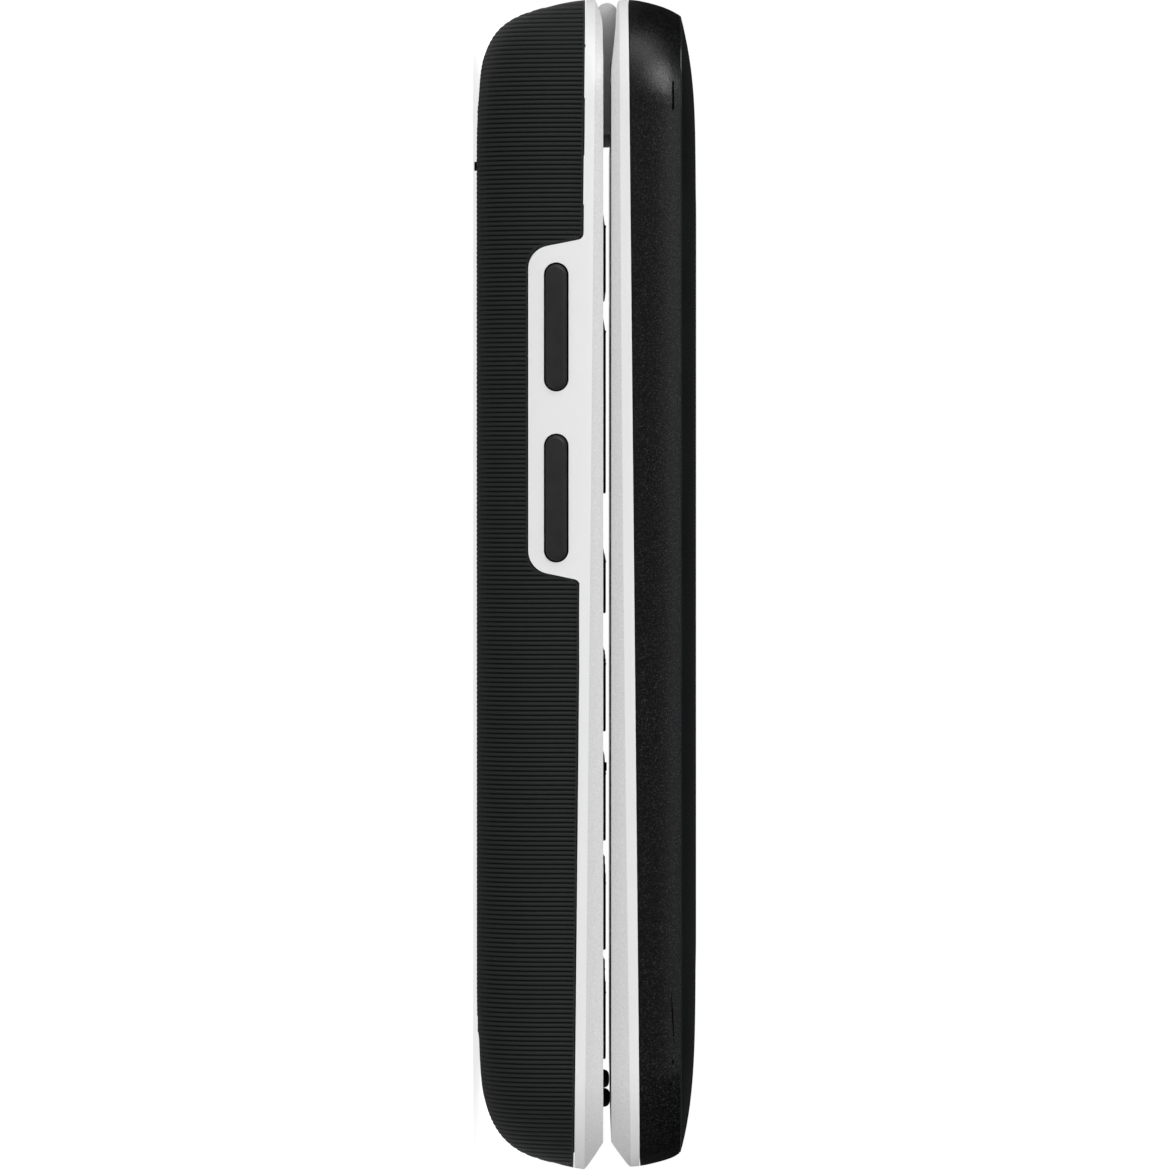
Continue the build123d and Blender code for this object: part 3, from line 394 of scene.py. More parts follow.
def make_finishes():
    """One material for each slot of the record, and one for the smooth fittings on the battery cover."""
    return {
        "ribbed_cover": ribbed_polycarbonate(),
        "white_case": white_abs(),
        # Glass-filled nylon chassis: charcoal, dulled by its fibres
        "inner_plastic": plain_moulding("glass_filled_nylon", "#1A1A1C", "#232325"),
        # Epoxy solder mask: green, with the half gloss of a cured film
        "circuit_board": plain_moulding("solder_mask", "#0B3A20", "#12502C", roughness=0.35),
        # Rolled and tinned steel sheet: pale grey, softly reflecting
        "shield_steel": worked_metal("tinned_steel", "#C9C9C6", roughness=0.3, step=0.2),
        # Shrunk film round the battery: blue-grey, half gloss
        "battery_wrap": plain_moulding("shrink_film", "#3A3D42", "#45484D", roughness=0.3),
        # Moulded liquid crystal polymer: black connector bodies, matt
        "connector_plastic": plain_moulding("liquid_crystal_polymer", "#0E0E0E", "#151515"),
        # Moulded polyamide basket of the sound parts: dark grey, matt
        "speaker_plastic": plain_moulding("speaker_basket", "#1C1C1C", "#262626"),
        # Polyester film over the key domes: milky straw colour, half gloss
        "dome_film": plain_moulding("polyester_film", "#C4BFA6", "#D2CDB8", roughness=0.25),
        # Polyimide film of the flexes: amber, half gloss
        "flex_film": plain_moulding("polyimide_film", "#8A4A10", "#A35A18", roughness=0.3),
        # Zinc-plated screws: cool grey, quite bright
        "screw_steel": worked_metal("zinc_plate", "#A6A6A8", roughness=0.28, step=0.1),
        # Moulded silicone of the stops, and of the screw plugs
        "stop_rubber": soft_rubber("black_silicone", "#0C0C0C", "#161616"),
        "plug_rubber": soft_rubber("white_silicone", "#D2D2D0", "#DCDCDA"),
        # Turned steel of the hinge: bright, with close tool lines
        "hinge_steel": worked_metal("turned_steel", "#B4B4B4", roughness=0.3, step=0.08),
        "panel_gloss": panel_acrylic(),
        "display_glass": screen_glass(),
        "satin_cover": satin_lacquer(),
        "front_gloss": front_acrylic(),
        # Blasted and anodised aluminium ring of the camera: dark grey with a silky sheen
        "ring_metal": worked_metal("anodised_aluminium", "#8E9094", roughness=0.25, step=0.06),
        "camera_glass": lens_glass(),
        "key_plastic": key_lacquer("matt_key", "#101111", "#151616"),
        "call_key_plastic": key_lacquer("matt_call_key", "#101211", "#151715"),
        "end_key_plastic": key_lacquer("matt_end_key", "#121010", "#171515"),
        "ring_key_plastic": key_lacquer("matt_ring_key", "#131414", "#181919"),
        "side_key_plastic": key_lacquer("side_key_tpu", "#171717", "#1C1C1C"),
        # Polycarbonate without ribs: black, a little smoother than the cover round it
        "smooth_cover": plain_moulding("smooth_polycarbonate", "#141514", "#1A1B1A", roughness=0.45),
    }


# ---- Mesh helpers ---------------------------------------------------------------------------------
def new_object(name, data):
    """Object with its data, in the scene."""
    thing = bpy.data.objects.new(name, data)
    bpy.context.scene.collection.objects.link(thing)
    return thing


def new_piece(name, mesh, body, material):
    """Mesh as a piece that rides on a body, with the finish it is given."""
    piece = new_object(name, mesh)
    mesh.materials.clear()
    mesh.materials.append(material)
    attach(piece, body)
    return piece


def merged_copy(node):
    """Bmesh of a node's mesh with its doubled points joined."""
    shape = bmesh.new()
    shape.from_mesh(frame["nodes"][node].data)
    bmesh.ops.remove_doubles(shape, verts=shape.verts, dist=1e-7)
    return shape


def plain_mesh(name, shape):
    """Mesh of a shape, which is used up."""
    mesh = bpy.data.meshes.new(name)
    shape.to_mesh(mesh)
    shape.free()
    return mesh


def shade(mesh, angle):
    """Smooth shading with edges sharper than the angle kept."""
    mesh.polygons.foreach_set("use_smooth", [True] * len(mesh.polygons))
    mesh.set_sharp_from_angle(angle=math.radians(angle))


def shaded_mesh(name, shape, angle=40.0):
    """Mesh of a shape, which is used up, with smooth shading."""
    mesh = plain_mesh(name, shape)
    shade(mesh, angle)
    return mesh


def finished_mesh(thing):
    """Mesh of an object with its modifiers or its curve worked out."""
    bpy.context.view_layer.update()
    graph = bpy.context.evaluated_depsgraph_get()
    return bpy.data.meshes.new_from_object(thing.evaluated_get(graph))


def run_tree(piece, tree, **values):
    """Runs a geometry node tree on a piece and keeps the result as its plain mesh."""
    modifier = piece.modifiers.new(tree.name, "NODES")
    modifier.node_group = tree
    for item in tree.interface.items_tree:
        if item.item_type == "SOCKET" and item.in_out == "INPUT" and item.name in values:
            modifier[item.identifier] = values[item.name]
    piece.data = finished_mesh(piece)
    piece.modifiers.clear()


# ---- Battery cover --------------------------------------------------------------------------------
def is_skin(face):
    """True for a face of the battery cover's outer skin, apart from the stand-off pips."""
    middle = face.calc_center_median()
    nearest = [max(-reach * MM, min(reach * MM, place)) for reach, place in zip(core_reach, middle)]
    outwards = (middle - Vector((*nearest, core_level * MM))).normalized()
    return face.normal.dot(outwards) > skin_facing and middle.z > pip_level * MM


def smooth_skin():
    """Outer skin of the plain battery cover."""
    skin = merged_copy("back_cover")
    skin.normal_update()
    bmesh.ops.delete(skin, geom=[face for face in skin.faces if not is_skin(face)], context="FACES")
    return skin


def cover_rest():
    """Battery cover without the part of its skin that the ribbed face replaces."""
    rest = merged_copy("back_cover")
    for end in (-rib_reach, rib_reach):
        whole = rest.verts[:] + rest.edges[:] + rest.faces[:]
        bmesh.ops.bisect_plane(rest, geom=whole, dist=1e-8, plane_co=(0, end * MM, 0), plane_no=(0, 1, 0))
    rest.normal_update()
    ribbed = [f for f in rest.faces if is_skin(f) and abs(f.calc_center_median().y) < rib_reach * MM]
    bmesh.ops.delete(rest, geom=ribbed, context="FACES")
    return rest


def open_chains(shape):
    """Closed chains of open edges, the longest last."""
    left = {edge for edge in shape.edges if edge.is_boundary}
    chains = []
    while left:
        chain = [left.pop()]
        ends = list(chain[0].verts)
        while ends:
            vert = ends.pop()
            for edge in vert.link_edges:
                if edge in left:
                    left.discard(edge)
                    chain.append(edge)
                    ends.append(edge.other_vert(vert))
        chains.append(chain)
    return sorted(chains, key=lambda edges: sum(edge.calc_length() for edge in edges))


def open_edges(skin):
    """Object that holds only the skin's open edges, for measuring how far a point is from them."""
    border = skin.copy()
    inner = [edge for edge in border.edges if not edge.is_boundary]
    bmesh.ops.delete(border, geom=border.faces[:], context="FACES_ONLY")
    bmesh.ops.delete(border, geom=inner, context="EDGES")
    return new_object("cover_border", plain_mesh("cover_border", border))


def closed_skin(skin):
    """Surface of the skin with the slots, mouth and socket hole filled."""
    for chain in open_chains(skin)[:-1]:
        bmesh.ops.holes_fill(skin, edges=chain, sides=0)
    bmesh.ops.triangulate(skin, faces=skin.faces[:])
    return BVHTree.FromBMesh(skin)


def cover_columns():
    """Places across the cover, border to border: (share of half width, share of height, drop in mm)."""
    land = [(1.0, 0.0, drop) for drop in (rib_drop, rib_land, rib_land + rib_fade)]
    side = [(1.0, math.sin(step / side_steps * math.pi / 2), 0.0) for step in range(1, side_steps + 1)]
    corner = [(1.0 - turn_step * step, 1.0, 0.0) for step in range(1, turn_steps + 1)]
    flat = [(share, 1.0, 0.0) for share in (*back_shares, speaker_cutout / phone_width)]
    half = land + side + corner + flat
    return half + [(0.0, 1.0, 0.0)] + [(-share, height, drop) for share, height, drop in reversed(half)]


def rib_rows():
    """Places along the phone of the rows of the ribbed face, four to a rib."""
    steps = [rib_floor / 2, (1 - rib_crest) / 2, (1 + rib_crest) / 2, 1 - rib_floor / 2]
    rows = [rib_start + (rib + step) * rib_pitch for rib in range(rib_count) for step in steps]
    return [-rib_reach] + rows + [rib_reach]


def border_level(rims, side, y):
    """Level of the cover's upper border: the seam, or on the left the edge of the side key island."""
    seam = (seam_level + seam_slope * y) * MM
    if side > 0 or abs(y) > island_reach:
        return seam
    across, low = island_probe
    hit = rims.ray_cast(Vector((across * MM, y * MM, low * MM)), Vector((0, 0, 1)))[0]
    return min(hit.z, seam) if hit else seam


def cover_sheet(face, rims):
    """Sheet laid over the closed skin in rows across the phone, one row for each line of the rib profile."""
    sheet = bmesh.new()
    previous = []
    for y in rib_rows():
        levels = {side: border_level(rims, side, y) for side in (-1, 1)}
        low = face.ray_cast(Vector((0, y * MM, ray_level * MM)), Vector((0, 0, -1)))[0].z
        row = []
        for share, height, drop in cover_columns():
            side = -1 if share > 0 else 1
            start = Vector((0, y * MM, levels[side] - drop * MM))
            wide = face.ray_cast(start - Vector((0, 0, ray_drop * MM)), Vector((side, 0, 0)))[0]
            target = Vector((-share * abs(wide.x), y * MM, start.z - height * (start.z - low)))
            hit = face.ray_cast(start, (target - start).normalized())[0]
            row.append(sheet.verts.new(hit or target))
        for near, far, above, beside in zip(previous, previous[1:], row[1:], row):
            sheet.faces.new((near, beside, above, far))
        previous = row
    hidden = [piece for piece in sheet.faces if in_cutout(piece.calc_center_median() / MM)]
    bmesh.ops.delete(sheet, geom=hidden, context="FACES")
    return sheet


def in_cutout(place):
    """True where the cover is open under the speaker grille, the charging mouth or the headset ring."""
    on_back, on_chin, on_right = place.z < back_level, place.y < chin_edge, place.x > right_edge
    speaker = max(abs(place.x), abs(place.y - speaker_y)) < speaker_cutout / 2
    mouth = abs(place.x) < mouth_width / 2 and abs(place.z - mouth_z) < mouth_height / 2
    jack = math.hypot(place.y - jack_y, place.z - jack_z) < jack_hole
    return on_back and speaker or on_chin and mouth or on_right and jack


def rib_tree():
    """Geometry nodes that press the rib profile into the smooth sheet, away from its borders."""
    tree = bpy.data.node_groups.new("cover_ribs", "GeometryNodeTree")
    sockets = tree.interface
    sockets.new_socket("Geometry", in_out="INPUT", socket_type="NodeSocketGeometry")
    for name in ("Start", "Pitch", "Depth", "Back", "Flank", "Crest", "Floor", "Land", "Fade"):
        sockets.new_socket(name, in_out="INPUT", socket_type="NodeSocketFloat")
    sockets.new_socket("Border", in_out="INPUT", socket_type="NodeSocketObject")
    sockets.new_socket("Finish", in_out="INPUT", socket_type="NodeSocketMaterial")
    sockets.new_socket("Geometry", in_out="OUTPUT", socket_type="NodeSocketGeometry")
    given = add_node(tree, "NodeGroupInput").outputs

    # Groove: 0 on a crest, 1 on a floor, by how far a point is from the middle of its rib
    place = add_node(tree, "GeometryNodeInputPosition")
    along = add_node(tree, "ShaderNodeSeparateXYZ", {0: place}).outputs["Y"]
    from_start = add_node(tree, "ShaderNodeMath", {0: along, 1: given["Start"]}, operation="SUBTRACT")
    ribs = add_node(tree, "ShaderNodeMath", {0: from_start, 1: given["Pitch"]}, operation="DIVIDE")
    share = add_node(tree, "ShaderNodeMath", {0: ribs}, operation="FRACT")
    off_middle = add_node(tree, "ShaderNodeMath", {0: share, 1: 0.5}, operation="SUBTRACT")
    off_crest = add_node(tree, "ShaderNodeMath", {0: off_middle}, operation="ABSOLUTE")
    groove = add_node(
        tree, "ShaderNodeMapRange",
        {"Value": off_crest, "From Min": given["Crest"], "From Max": given["Floor"]},
    )

    # It fades out beside the borders, and is shallower where the surface faces down or to an end
    edge = add_node(tree, "GeometryNodeObjectInfo", {"Object": given["Border"]}).outputs["Geometry"]
    near = add_node(tree, "GeometryNodeProximity", {0: edge}, target_element="EDGES").outputs["Distance"]
    inside = add_node(
        tree, "ShaderNodeMapRange", {"Value": near, "From Min": given["Land"], "From Max": given["Fade"]}
    )
    pressed = add_node(tree, "ShaderNodeMath", {0: groove, 1: inside}, operation="MULTIPLY")
    normal = add_node(tree, "GeometryNodeInputNormal")
    sideways = add_node(tree, "ShaderNodeSeparateXYZ", {0: normal}).outputs["X"]
    flank = add_node(tree, "ShaderNodeMath", {0: sideways}, operation="ABSOLUTE")
    fuller = add_node(
        tree, "ShaderNodeMapRange",
        {"Value": flank, "From Min": 0.0, "From Max": given["Flank"], "To Min": given["Back"]},
    )
    sink = add_node(tree, "ShaderNodeMath", {0: pressed, 1: given["Depth"]}, operation="MULTIPLY")
    shaped = add_node(tree, "ShaderNodeMath", {0: sink, 1: fuller}, operation="MULTIPLY")
    inward = add_node(tree, "ShaderNodeMath", {0: shaped, 1: -1.0}, operation="MULTIPLY")
    offset = add_node(tree, "ShaderNodeVectorMath", {0: normal, "Scale": inward}, operation="SCALE")

    # The groove share is also stored on the points; the cover's finish darkens its colour by it, as painted
    # shade in the grooves
    marked = add_node(
        tree, "GeometryNodeStoreNamedAttribute",
        {"Geometry": given["Geometry"], "Name": "groove", "Value": pressed},
        data_type="FLOAT", domain="POINT",
    )
    moved = add_node(tree, "GeometryNodeSetPosition", {"Geometry": marked, "Offset": offset})
    real = add_node(tree, "GeometryNodeRealizeInstances", {"Geometry": moved})
    dressed = add_node(tree, "GeometryNodeSetMaterial", {"Geometry": real, "Material": given["Finish"]})
    add_node(tree, "NodeGroupOutput", {"Geometry": dressed})
    return tree


def make_battery_cover(finish):
    """Battery cover with its moulded ribs; gives back the closed surface for the fittings on it."""
    skin = smooth_skin()
    border = open_edges(skin)
    surface = closed_skin(skin)
    skin.free()
    rest = cover_rest()
    sheet = cover_sheet(surface, BVHTree.FromBMesh(rest))
    ribbed = new_object("ribbed_face", plain_mesh("ribbed_face", sheet))
    run_tree(
        ribbed, rib_tree(), Start=rib_start * MM, Pitch=rib_pitch * MM, Depth=rib_depth * MM, Back=rib_back,
        Flank=rib_flank, Crest=rib_crest / 2, Floor=0.5 - rib_floor / 2, Land=rib_land * MM,
        Fade=(rib_land + rib_fade) * MM, Border=border, Finish=finish,
    )
    ribbed.data.polygons.foreach_set("use_smooth", [True] * len(ribbed.data.polygons))
    whole = bmesh.new()
    for mesh in (ribbed.data, shaded_mesh("cover_rest", rest, angle=30.0)):
        whole.from_mesh(mesh)
    for thing in (ribbed, border):
        bpy.data.objects.remove(thing)
    cover = new_piece("battery_cover", plain_mesh("battery_cover", whole), "base", finish)
    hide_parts("back_cover")
    return surface


# ---- Outlines and rings laid on a surface ---------------------------------------------------------
def rounded_outline(width, height, radius, steps=8):
    """Points of a rounded rectangle round the origin, in mm."""
    points = []
    for corner, (right, up) in enumerate(((1, 1), (-1, 1), (-1, -1), (1, -1))):
        for step in range(steps + 1):
            angle = (corner + step / steps) * math.pi / 2
            points.append((
                right * (width / 2 - radius) + radius * math.cos(angle),
                up * (height / 2 - radius) + radius * math.sin(angle),
            ))
    return points


def lay_rings(rings, ray_at, surface, filled=False):
    """Shape through rings of points thrown onto a surface; each ring has its own lift above it.

    A point thrown through an opening gets the depth of the point before it.
    """
    shape = bmesh.new()
    placed = []
    depth = 0.0
    for points, lift in rings:
        ring = []
        for across, up in points:
            start, way = ray_at(across, up)
            depth = surface.ray_cast(start, way, throw_reach * MM)[3] or depth
            ring.append(shape.verts.new(start + way * (depth - lift * MM)))
        placed.append(ring)
    join_rings(shape, placed)
    if filled:
        shape.faces.new(placed[-1])
    bmesh.ops.recalc_face_normals(shape, faces=shape.faces[:])
    return shape


def join_rings(shape, rings):
    """Faces between each closed ring of points and the next."""
    for first, second in zip(rings, rings[1:]):
        for index in range(len(first)):
            after = (index + 1) % len(first)
            shape.faces.new((first[index], first[after], second[after], second[index]))


def ring_band(outline, width):
    """Rings of a raised frame, from its outer foot over the crown to its inner foot."""
    crown = [(outline(width * share), lift) for share, lift in band_profile]
    return [(outline(width), -band_foot)] + crown + [(outline(0.0), -band_foot)]


# ---- Fittings on the battery cover ----------------------------------------------------------------
def from_chin(across, up):
    """Ray at the chin end, round the middle of the charging mouth."""
    return Vector((across, chin_start, mouth_z + up)) * MM, Vector((0, 1, 0))


def from_right(across, up):
    """Ray at the right side, round the middle of the headset socket."""
    return Vector((side_start, jack_y + across, jack_z + up)) * MM, Vector((-1, 0, 0))


def mouth_outline(wider):
    """Outline of the charging mouth, widened all round."""
    return rounded_outline(mouth_width + 2 * wider, mouth_height + 2 * wider, mouth_corner + wider)


def jack_outline(wider):
    """Circle of the headset socket, widened all round."""
    radius = jack_ring + wider
    return rounded_outline(2 * radius, 2 * radius, radius - tiny)


def make_cover_fittings(surface, finishes):
    """Raised frames round the charging mouth and the headset socket, and the loudspeaker grille."""
    frames = (
        ("charging_mouth_frame", ring_band(mouth_outline, mouth_band), from_chin),
        ("headset_ring", ring_band(jack_outline, jack_band), from_right),
    )
    for name, rings, ray_at in frames:
        mesh = shaded_mesh(name, lay_rings(rings, ray_at, surface))
        new_piece(name, mesh, "base", finishes["smooth_cover"])
    edge = rounded_outline(speaker_cutout + grille_margin, speaker_cutout + grille_margin, grille_corner)
    slit = rounded_outline(slot_length, slot_width, slot_width / 2 - tiny)
    shifts = [(index - slot_count // 2) * slot_pitch for index in range(slot_count)]
    slits = [[(x, y + shift) for x, y in slit] for shift in shifts]
    grille = slotted_plate("speaker_grille", edge, slits, grille_thickness, grille_round)
    grille.transform(Matrix.Translation(Vector((0, speaker_y, grille_level)) * MM))
    new_piece("speaker_grille", grille, "base", finishes["smooth_cover"])


def slotted_plate(name, edge, slits, thickness, round_over):
    """Flat plate with slots and rounded edges, round the origin."""
    curve = bpy.data.curves.new(name, "CURVE")
    curve.dimensions = "2D"
    curve.fill_mode = "BOTH"
    curve.extrude = (thickness / 2 - round_over) * MM
    curve.bevel_depth = round_over * MM
    curve.bevel_resolution = 2
    for points in [edge] + slits:
        spline = curve.splines.new("POLY")
        spline.points.add(len(points) - 1)
        spline.use_cyclic_u = True
        for knot, (x, y) in zip(spline.points, points):
            knot.co = (x * MM, y * MM, 0, 1)
    return curve_mesh(name, curve)


def curve_mesh(name, curve):
    """Plain mesh of a curve or text."""
    thing = new_object(name, curve)
    mesh = finished_mesh(thing)
    bpy.data.objects.remove(thing)
    mesh.name = name
    return mesh


# ---- Keys and their legends -----------------------------------------------------------------------
def soft_edged(node, finish, radius, crown=0.0, plain_top=0.0):
    """Cap in a key's place: a copy with its edges rounded, raised by a crown where it reaches a plain top."""
    shape = merged_copy(node)
    bmesh.ops.dissolve_limit(
        shape, angle_limit=math.radians(flat_angle), verts=shape.verts, edges=shape.edges
    )
    for vert in shape.verts:
        if crown and vert.co.z > plain_top - top_slack * MM:
            vert.co.z += crown * MM
    name = f"{node}_cap"
    piece = new_piece(name, plain_mesh(name, shape), node, finish)
    bevel = piece.modifiers.new("round", "BEVEL")
    bevel.width = radius * MM
    bevel.segments = 3
    bevel.limit_method = "ANGLE"
    bevel.angle_limit = math.radians(round_angle)
    bevel.use_clamp_overlap = True
    piece.data = finished_mesh(piece)
    piece.modifiers.clear()
    shade(piece.data, crease_angle)
    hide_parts(node)


def text_mesh(name, figures, size):
    """Figures as a thin raised mesh round the origin."""
    curve = bpy.data.curves.new(name, "FONT")
    curve.body = figures
    curve.size = size * MM
    curve.align_x = "CENTER"
    curve.align_y = "CENTER"
    curve.extrude = legend_height / 2 * MM
    curve.resolution_u = 6
    return curve_mesh(name, curve)


def flat_mesh(name, outlines):
    """Thin raised mesh from closed outlines in mm."""
    shape = bmesh.new()
    levels = (-legend_height / 2, legend_height / 2)
    for points in outlines:
        low, high = ([shape.verts.new((x * MM, y * MM, level * MM)) for x, y in points] for level in levels)
        join_rings(shape, (low, high))
        shape.faces.new(low[::-1])
        shape.faces.new(high)
    bmesh.ops.recalc_face_normals(shape, faces=shape.faces[:])
    return plain_mesh(name, shape)


def disc(x, y, radius, steps=20):
    """Points of a circle."""
    turns = [2 * math.pi * step / steps for step in range(steps)]
    return [(x + radius * math.cos(turn), y + radius * math.sin(turn)) for turn in turns]


def handset(lean):
    """Outline of a telephone handset: an arc with thick ends, leaning to one side."""
    outer_radius, inner_radius, half_turn, drop = 2.45, 2.2, 0.95, 1.3
    grip, bulge, sharpness = 0.32, 0.62, 5
    inner, outer = [], []
    for spot in [-1 + step / 10 for step in range(21)]:
        angle = math.pi / 2 + lean - spot * half_turn
        near = inner_radius - (grip + bulge * abs(spot) ** sharpness)
        inner.append((near * math.cos(angle), near * math.sin(angle) - drop))
        outer.append((outer_radius * math.cos(angle), outer_radius * math.sin(angle) - drop))
    return inner + outer[::-1]


def arrow(turn, reach=6.0, size=0.62):
    """Small triangle pointing outwards from the middle of the navigation ring."""
    corners = [(reach + size, 0.0), (reach, size), (reach, -size)]
    along, aside = math.cos(turn), math.sin(turn)
    return [(x * along - y * aside, x * aside + y * along) for x, y in corners]


def key_marks():
    """Legend of each key: node, figure or outlines, ink, and shift from the key's middle in mm."""
    marks = [(f"key_{figure}", figure, "white", (0.0, -0.45)) for figure in "0123456789"]
    marks += [("key_star", "*", "white", (0.0, -1.3)), ("key_hash", "#", "white", (0.0, -0.45))]
    for count, letter in enumerate("abc", start=1):
        dots = [disc(dot_pitch * (index - (count - 1) / 2), 0, dot_radius) for index in range(count)]
        marks.append((f"shortcut_key_{letter}", dots, "white", (0.0, -0.3)))
    for side in ("left", "right"):
        marks.append((f"soft_key_{side}", [rounded_outline(*dash_size)], "white", (0.0, -0.5)))
    marks.append(("call_key", [handset(0.35)], "green", (0.0, 0.0)))
    marks.append(("end_key", [handset(0.0)], "red", (0.0, 0.0)))
    marks.append(("nav_ring", [arrow(quarter * math.pi / 2) for quarter in range(4)], "white", (0.0, 0.0)))
    marks.append(("ok_key", [disc(0, 0, ok_dot_radius)], "white", (0.0, 0.0)))
    return marks


def make_keys(finishes):
    """Keys with rounded edges and their printed legends."""
    inks = {
        "white": legend_ink("white_ink", "#D6D7D5", "#DCDDDB"),
        "green": legend_ink("green_ink", "#3CA054", "#42A85A"),
        "red": legend_ink("red_ink", "#C03E36", "#C8463E"),
    }
    plain_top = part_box("key_2")[1].z
    ink_level = plain_top + (key_lift + legend_gap) * MM
    for node, mark, ink, (aside, along) in key_marks():
        soft_edged(node, finishes[slots[node]], key_round, key_lift, plain_top)
        low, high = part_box(node)
        middle = (low + high) / 2
        name = f"{node}_legend"
        mesh = text_mesh(name, mark, figure_size) if isinstance(mark, str) else flat_mesh(name, mark)
        mesh.transform(Matrix.Translation((middle.x + aside * MM, middle.y + along * MM, ink_level)))
        new_piece(name, mesh, node, inks[ink])
    for node in ("volume_up_key", "volume_down_key"):
        soft_edged(node, finishes[slots[node]], side_key_round)


def make_stops(finish):
    """Rubber stops at the chin: round buttons domed where the lid meets them."""
    low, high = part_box("lid_bumpers")
    shape = bmesh.new()
    radius = (high.y - low.y) / 2
    for side in (-1, 1):
        middle = Vector((side * (high.x - radius), (low.y + high.y) / 2, 0))
        rings = []
        for share, level in stop_profile:
            height = high.z - (1 - level) * stop_rise * MM if level >= 0 else low.z
            rings.append([
                shape.verts.new(middle + Vector((x * share * radius, y * share * radius, height)))
                for x, y in disc(0, 0, 1.0, stop_sides)
            ])
        join_rings(shape, rings)
        shape.faces.new(rings[-1])
        shape.faces.new(rings[0][::-1])
    stops = new_piece("lid_stops", shaded_mesh("lid_stops", shape), "base", finish)
    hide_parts("lid_bumpers")


# ---- Screens --------------------------------------------------------------------------------------
def make_screens(finish):
    """Visible areas of the two screens, each a hair above the window over it."""
    domed = [1.0 - step / front_rings for step in range(front_rings)]
    screens = (
        # piece, screen, window, visible area, lift, share of each ring, start and way of the rays
        ("main_screen", "main_display", "display_panel", main_view, 0.004, (1.0, 0.5), 0.0, 1),
        ("front_screen", "front_display", "front_cap", front_view, 0.006, domed, front_start, -1),
    )
    for name, screen, window, view, lift, shares, start, way in screens:
        surface = BVHTree.FromBMesh(merged_copy(window))
        low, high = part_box(screen)
        middle = (low + high) / 2 / MM

        def ray_at(across, up):
            """Ray square to the window, round the middle of the screen."""
            return Vector((across, middle.y + up, start)) * MM, Vector((0, 0, way))

        rings = [(rounded_outline(*[size * share for size in view]), lift) for share in shares]
        mesh = shaded_mesh(name, lay_rings(rings, ray_at, surface, filled=True))
        new_piece(name, mesh, "lid", finish)


# ---- Painted shade of gaps beside the lid's crease -------------------------------------------------
def finer(path, step):
    """Path of number tuples with more of them between, at most a step apart along the first number."""
    close_path = [path[0]]
    for here, there in zip(path, path[1:]):
        parts = max(1, math.ceil(abs(there[0] - here[0]) / step))
        for part in range(1, parts + 1):
            close_path.append(tuple(a + (b - a) * part / parts for a, b in zip(here, there)))
    return close_path


def make_trim_gaps():
    """Painted shade of narrow gaps where the front window's clips end: dark sheets on the lid for a slot, a
    tapered hairline and two dots.

    Each is a path of places along the phone, levels and half widths.
    """
    gaps = {
        "lanyard_slot": [
            (43.99, 17.44, 0.03), (43.85, 17.44, 0.09), (41.55, 17.44, 0.09), (41.4, 17.44, 0.03),
        ],
        "trim_hairline": [
            (-35.2, 17.31, 0.015), (-36.8, 17.37, 0.06), (-38.1, 17.45, 0.05), (-40.3, 17.57, 0.01),
        ],
        "upper_clip_dot": [(-41.1, 17.44, 0.05), (-41.3, 17.44, 0.08), (-41.55, 17.44, 0.05)],
        "lower_clip_dot": [(-43.0, 17.24, 0.05), (-43.2, 17.24, 0.08), (-43.4, 17.24, 0.05)],
    }
    wall = BVHTree.FromBMesh(merged_copy("lid_cover"))
    shadow = gap_shadow()
    # Painted shade: each gap is a near-black sheet a hair over the lid cover, not a cut
    for name, path in gaps.items():
        shape = bmesh.new()
        pairs = []
        for along, level, half in finer(path, gap_step):
            starts = [Vector((-side_start, along, edge)) * MM for edge in (level - half, level + half)]
            hits = [wall.ray_cast(start, Vector((1, 0, 0)))[0] for start in starts]
            pairs.append([shape.verts.new(hit - Vector((gap_lift * MM, 0, 0))) for hit in hits])
        for before, after in zip(pairs, pairs[1:]):
            shape.faces.new((before[0], before[1], after[1], after[0]))
        new_piece(name, shaded_mesh(name, shape), "lid", shadow)


# ---- Studio ---------------------------------------------------------------------------------------
def make_floor():
    """Plain white floor under the phone, there only for what looks down on it."""
    mesh = bpy.data.meshes.new("floor")
    quarters = ((-1, -1), (1, -1), (1, 1), (-1, 1))
    corners = [Vector((x * floor_half, y * floor_half, floor_level)) * MM for x, y in quarters]
    mesh.from_pydata(corners, [], [(0, 1, 2, 3)])
    floor = new_object("floor", mesh)
    material, tree, shader = start_finish(
        "painted_floor", roughness=0.9, Specular_IOR_Level=0.0,
        Base_Color=colour("#E6E6E6"), Emission_Color=full_white,
    )
    path = add_node(tree, "ShaderNodeLightPath").outputs
    seen = add_node(
        tree, "ShaderNodeMath", {0: path["Is Camera Ray"], 1: path["Is Transmission Ray"]}, operation="ADD"
    )
    shine = add_node(
        tree, "ShaderNodeMath",
        {0: seen, 1: floor_white - floor_glow, 2: floor_glow}, operation="MULTIPLY_ADD",
    )
    tree.links.new(shine.outputs[0], shader.inputs["Emission Strength"])
    below = add_node(tree, "ShaderNodeNewGeometry").outputs["Backfacing"]
    clear = add_node(tree, "ShaderNodeBsdfTransparent")
    side = add_node(tree, "ShaderNodeMixShader", {0: below, 1: shader, 2: clear})
    tree.links.new(side.outputs[0], tree.nodes["Material Output"].inputs["Surface"])
    mesh.materials.append(material)


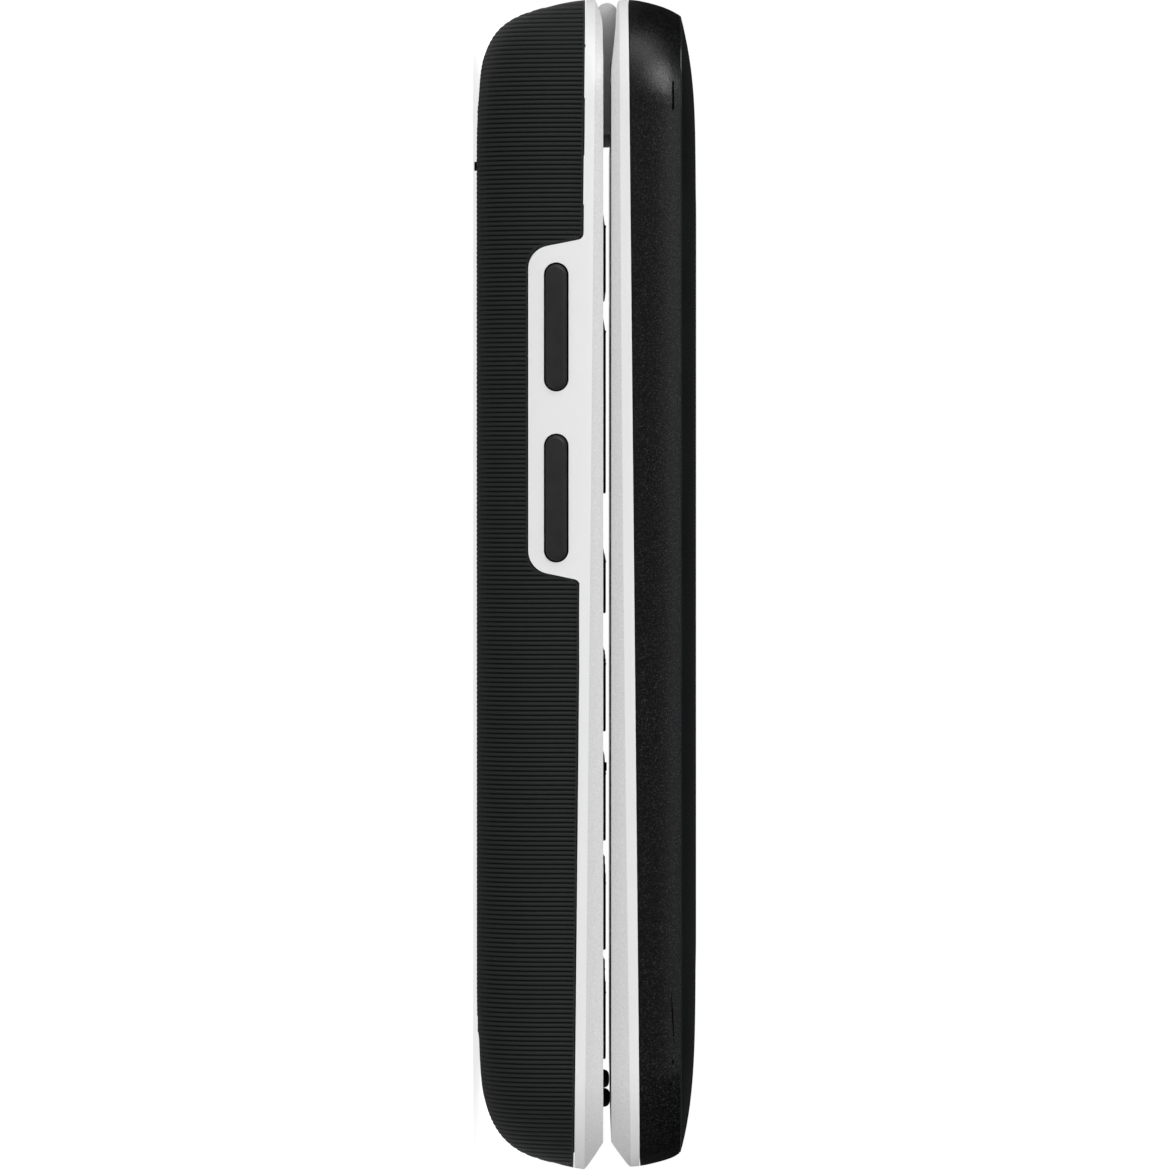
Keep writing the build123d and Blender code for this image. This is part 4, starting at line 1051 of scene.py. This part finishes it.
def make_world():
    """Soft grey room: pale for soft light, dim in reflections, and a white backdrop where one is seen."""
    world = bpy.data.worlds.new("studio")
    world.use_nodes = True
    tree = world.node_tree
    tree.nodes.clear()
    path = add_node(tree, "ShaderNodeLightPath").outputs
    heading = add_node(tree, "ShaderNodeTexCoord").outputs["Generated"]
    beyond = add_node(tree, "ShaderNodeSeparateXYZ", {0: heading}).outputs["X"]
    backdrop = add_node(
        tree, "ShaderNodeMapRange",
        {"Value": beyond, "From Min": backdrop_edge[0], "From Max": backdrop_edge[1]},
    )
    fading = add_node(
        tree, "ShaderNodeMapRange",
        {"Value": beyond, "From Min": -gloss_turn, "From Max": gloss_turn,
         "To Min": gloss_near, "To Max": gloss_far},
    )
    mirrored = add_node(tree, "ShaderNodeMath", {0: path["Is Glossy Ray"], 1: backdrop}, operation="MULTIPLY")
    seen = add_node(
        tree, "ShaderNodeMath", {0: path["Is Camera Ray"], 1: path["Is Transmission Ray"]}, operation="ADD"
    )
    white_share = add_node(tree, "ShaderNodeMath", {0: seen, 1: mirrored}, operation="ADD", use_clamp=True)
    soft, dim, white = (
        add_node(tree, "ShaderNodeBackground", {"Color": full_white, "Strength": strength})
        for strength in (room_light, fading, 1.0)
    )
    room = add_node(tree, "ShaderNodeMixShader", {0: path["Is Glossy Ray"], 1: soft, 2: dim})
    whole = add_node(tree, "ShaderNodeMixShader", {0: white_share, 1: room, 2: white})
    add_node(tree, "ShaderNodeOutputWorld", {"Surface": whole})
    bpy.context.scene.world = world
    bpy.context.scene.view_settings.view_transform = "Standard"


def make_lamps():
    """Square soft boxes round the camera's side, aimed at the middle of the phone.

    The low one only fills, and the glint only shows in gloss.
    """
    target = Vector((0, 0, 0.01))
    boxes = (
        # name, place and size in metres, power in watts, what doesn't see it
        ("key_box", (-0.60, 0.42, 0.48), 0.34, 2.3, None),
        ("low_box", (-0.64, -0.40, 0.24), 0.40, 1.5, "visible_glossy"),
        ("top_box", (-0.36, 0.74, 0.16), 0.40, 2.2, None),
        ("front_box", (-0.52, 0.02, 0.64), 0.30, 0.5, None),
        ("glint_box", (-0.56, 0.46, 0.48), 0.32, 3.2, "visible_diffuse"),
    )
    for name, place, size, power, blind in boxes:
        data = bpy.data.lights.new(name, "AREA")
        data.shape = "SQUARE"
        data.size = size
        data.energy = power
        lamp = new_object(name, data)
        lamp.location = place
        lamp.rotation_euler = (target - Vector(place)).to_track_quat("-Z", "Y").to_euler()
        if blind:
            setattr(lamp, blind, False)


# ---- Making ---------------------------------------------------------------------------------------
make_camera()
make_world()
make_lamps()
make_floor()
finishes = make_finishes()
for node, thing in frame["nodes"].items():
    thing.data.materials.clear()
    thing.data.materials.append(finishes[slots[node]])
cover_surface = make_battery_cover(finishes["ribbed_cover"])
make_cover_fittings(cover_surface, finishes)
make_keys(finishes)
make_stops(finishes["stop_rubber"])
make_screens(finishes["display_glass"])
make_trim_gaps()

bpy.context.view_layer.update()
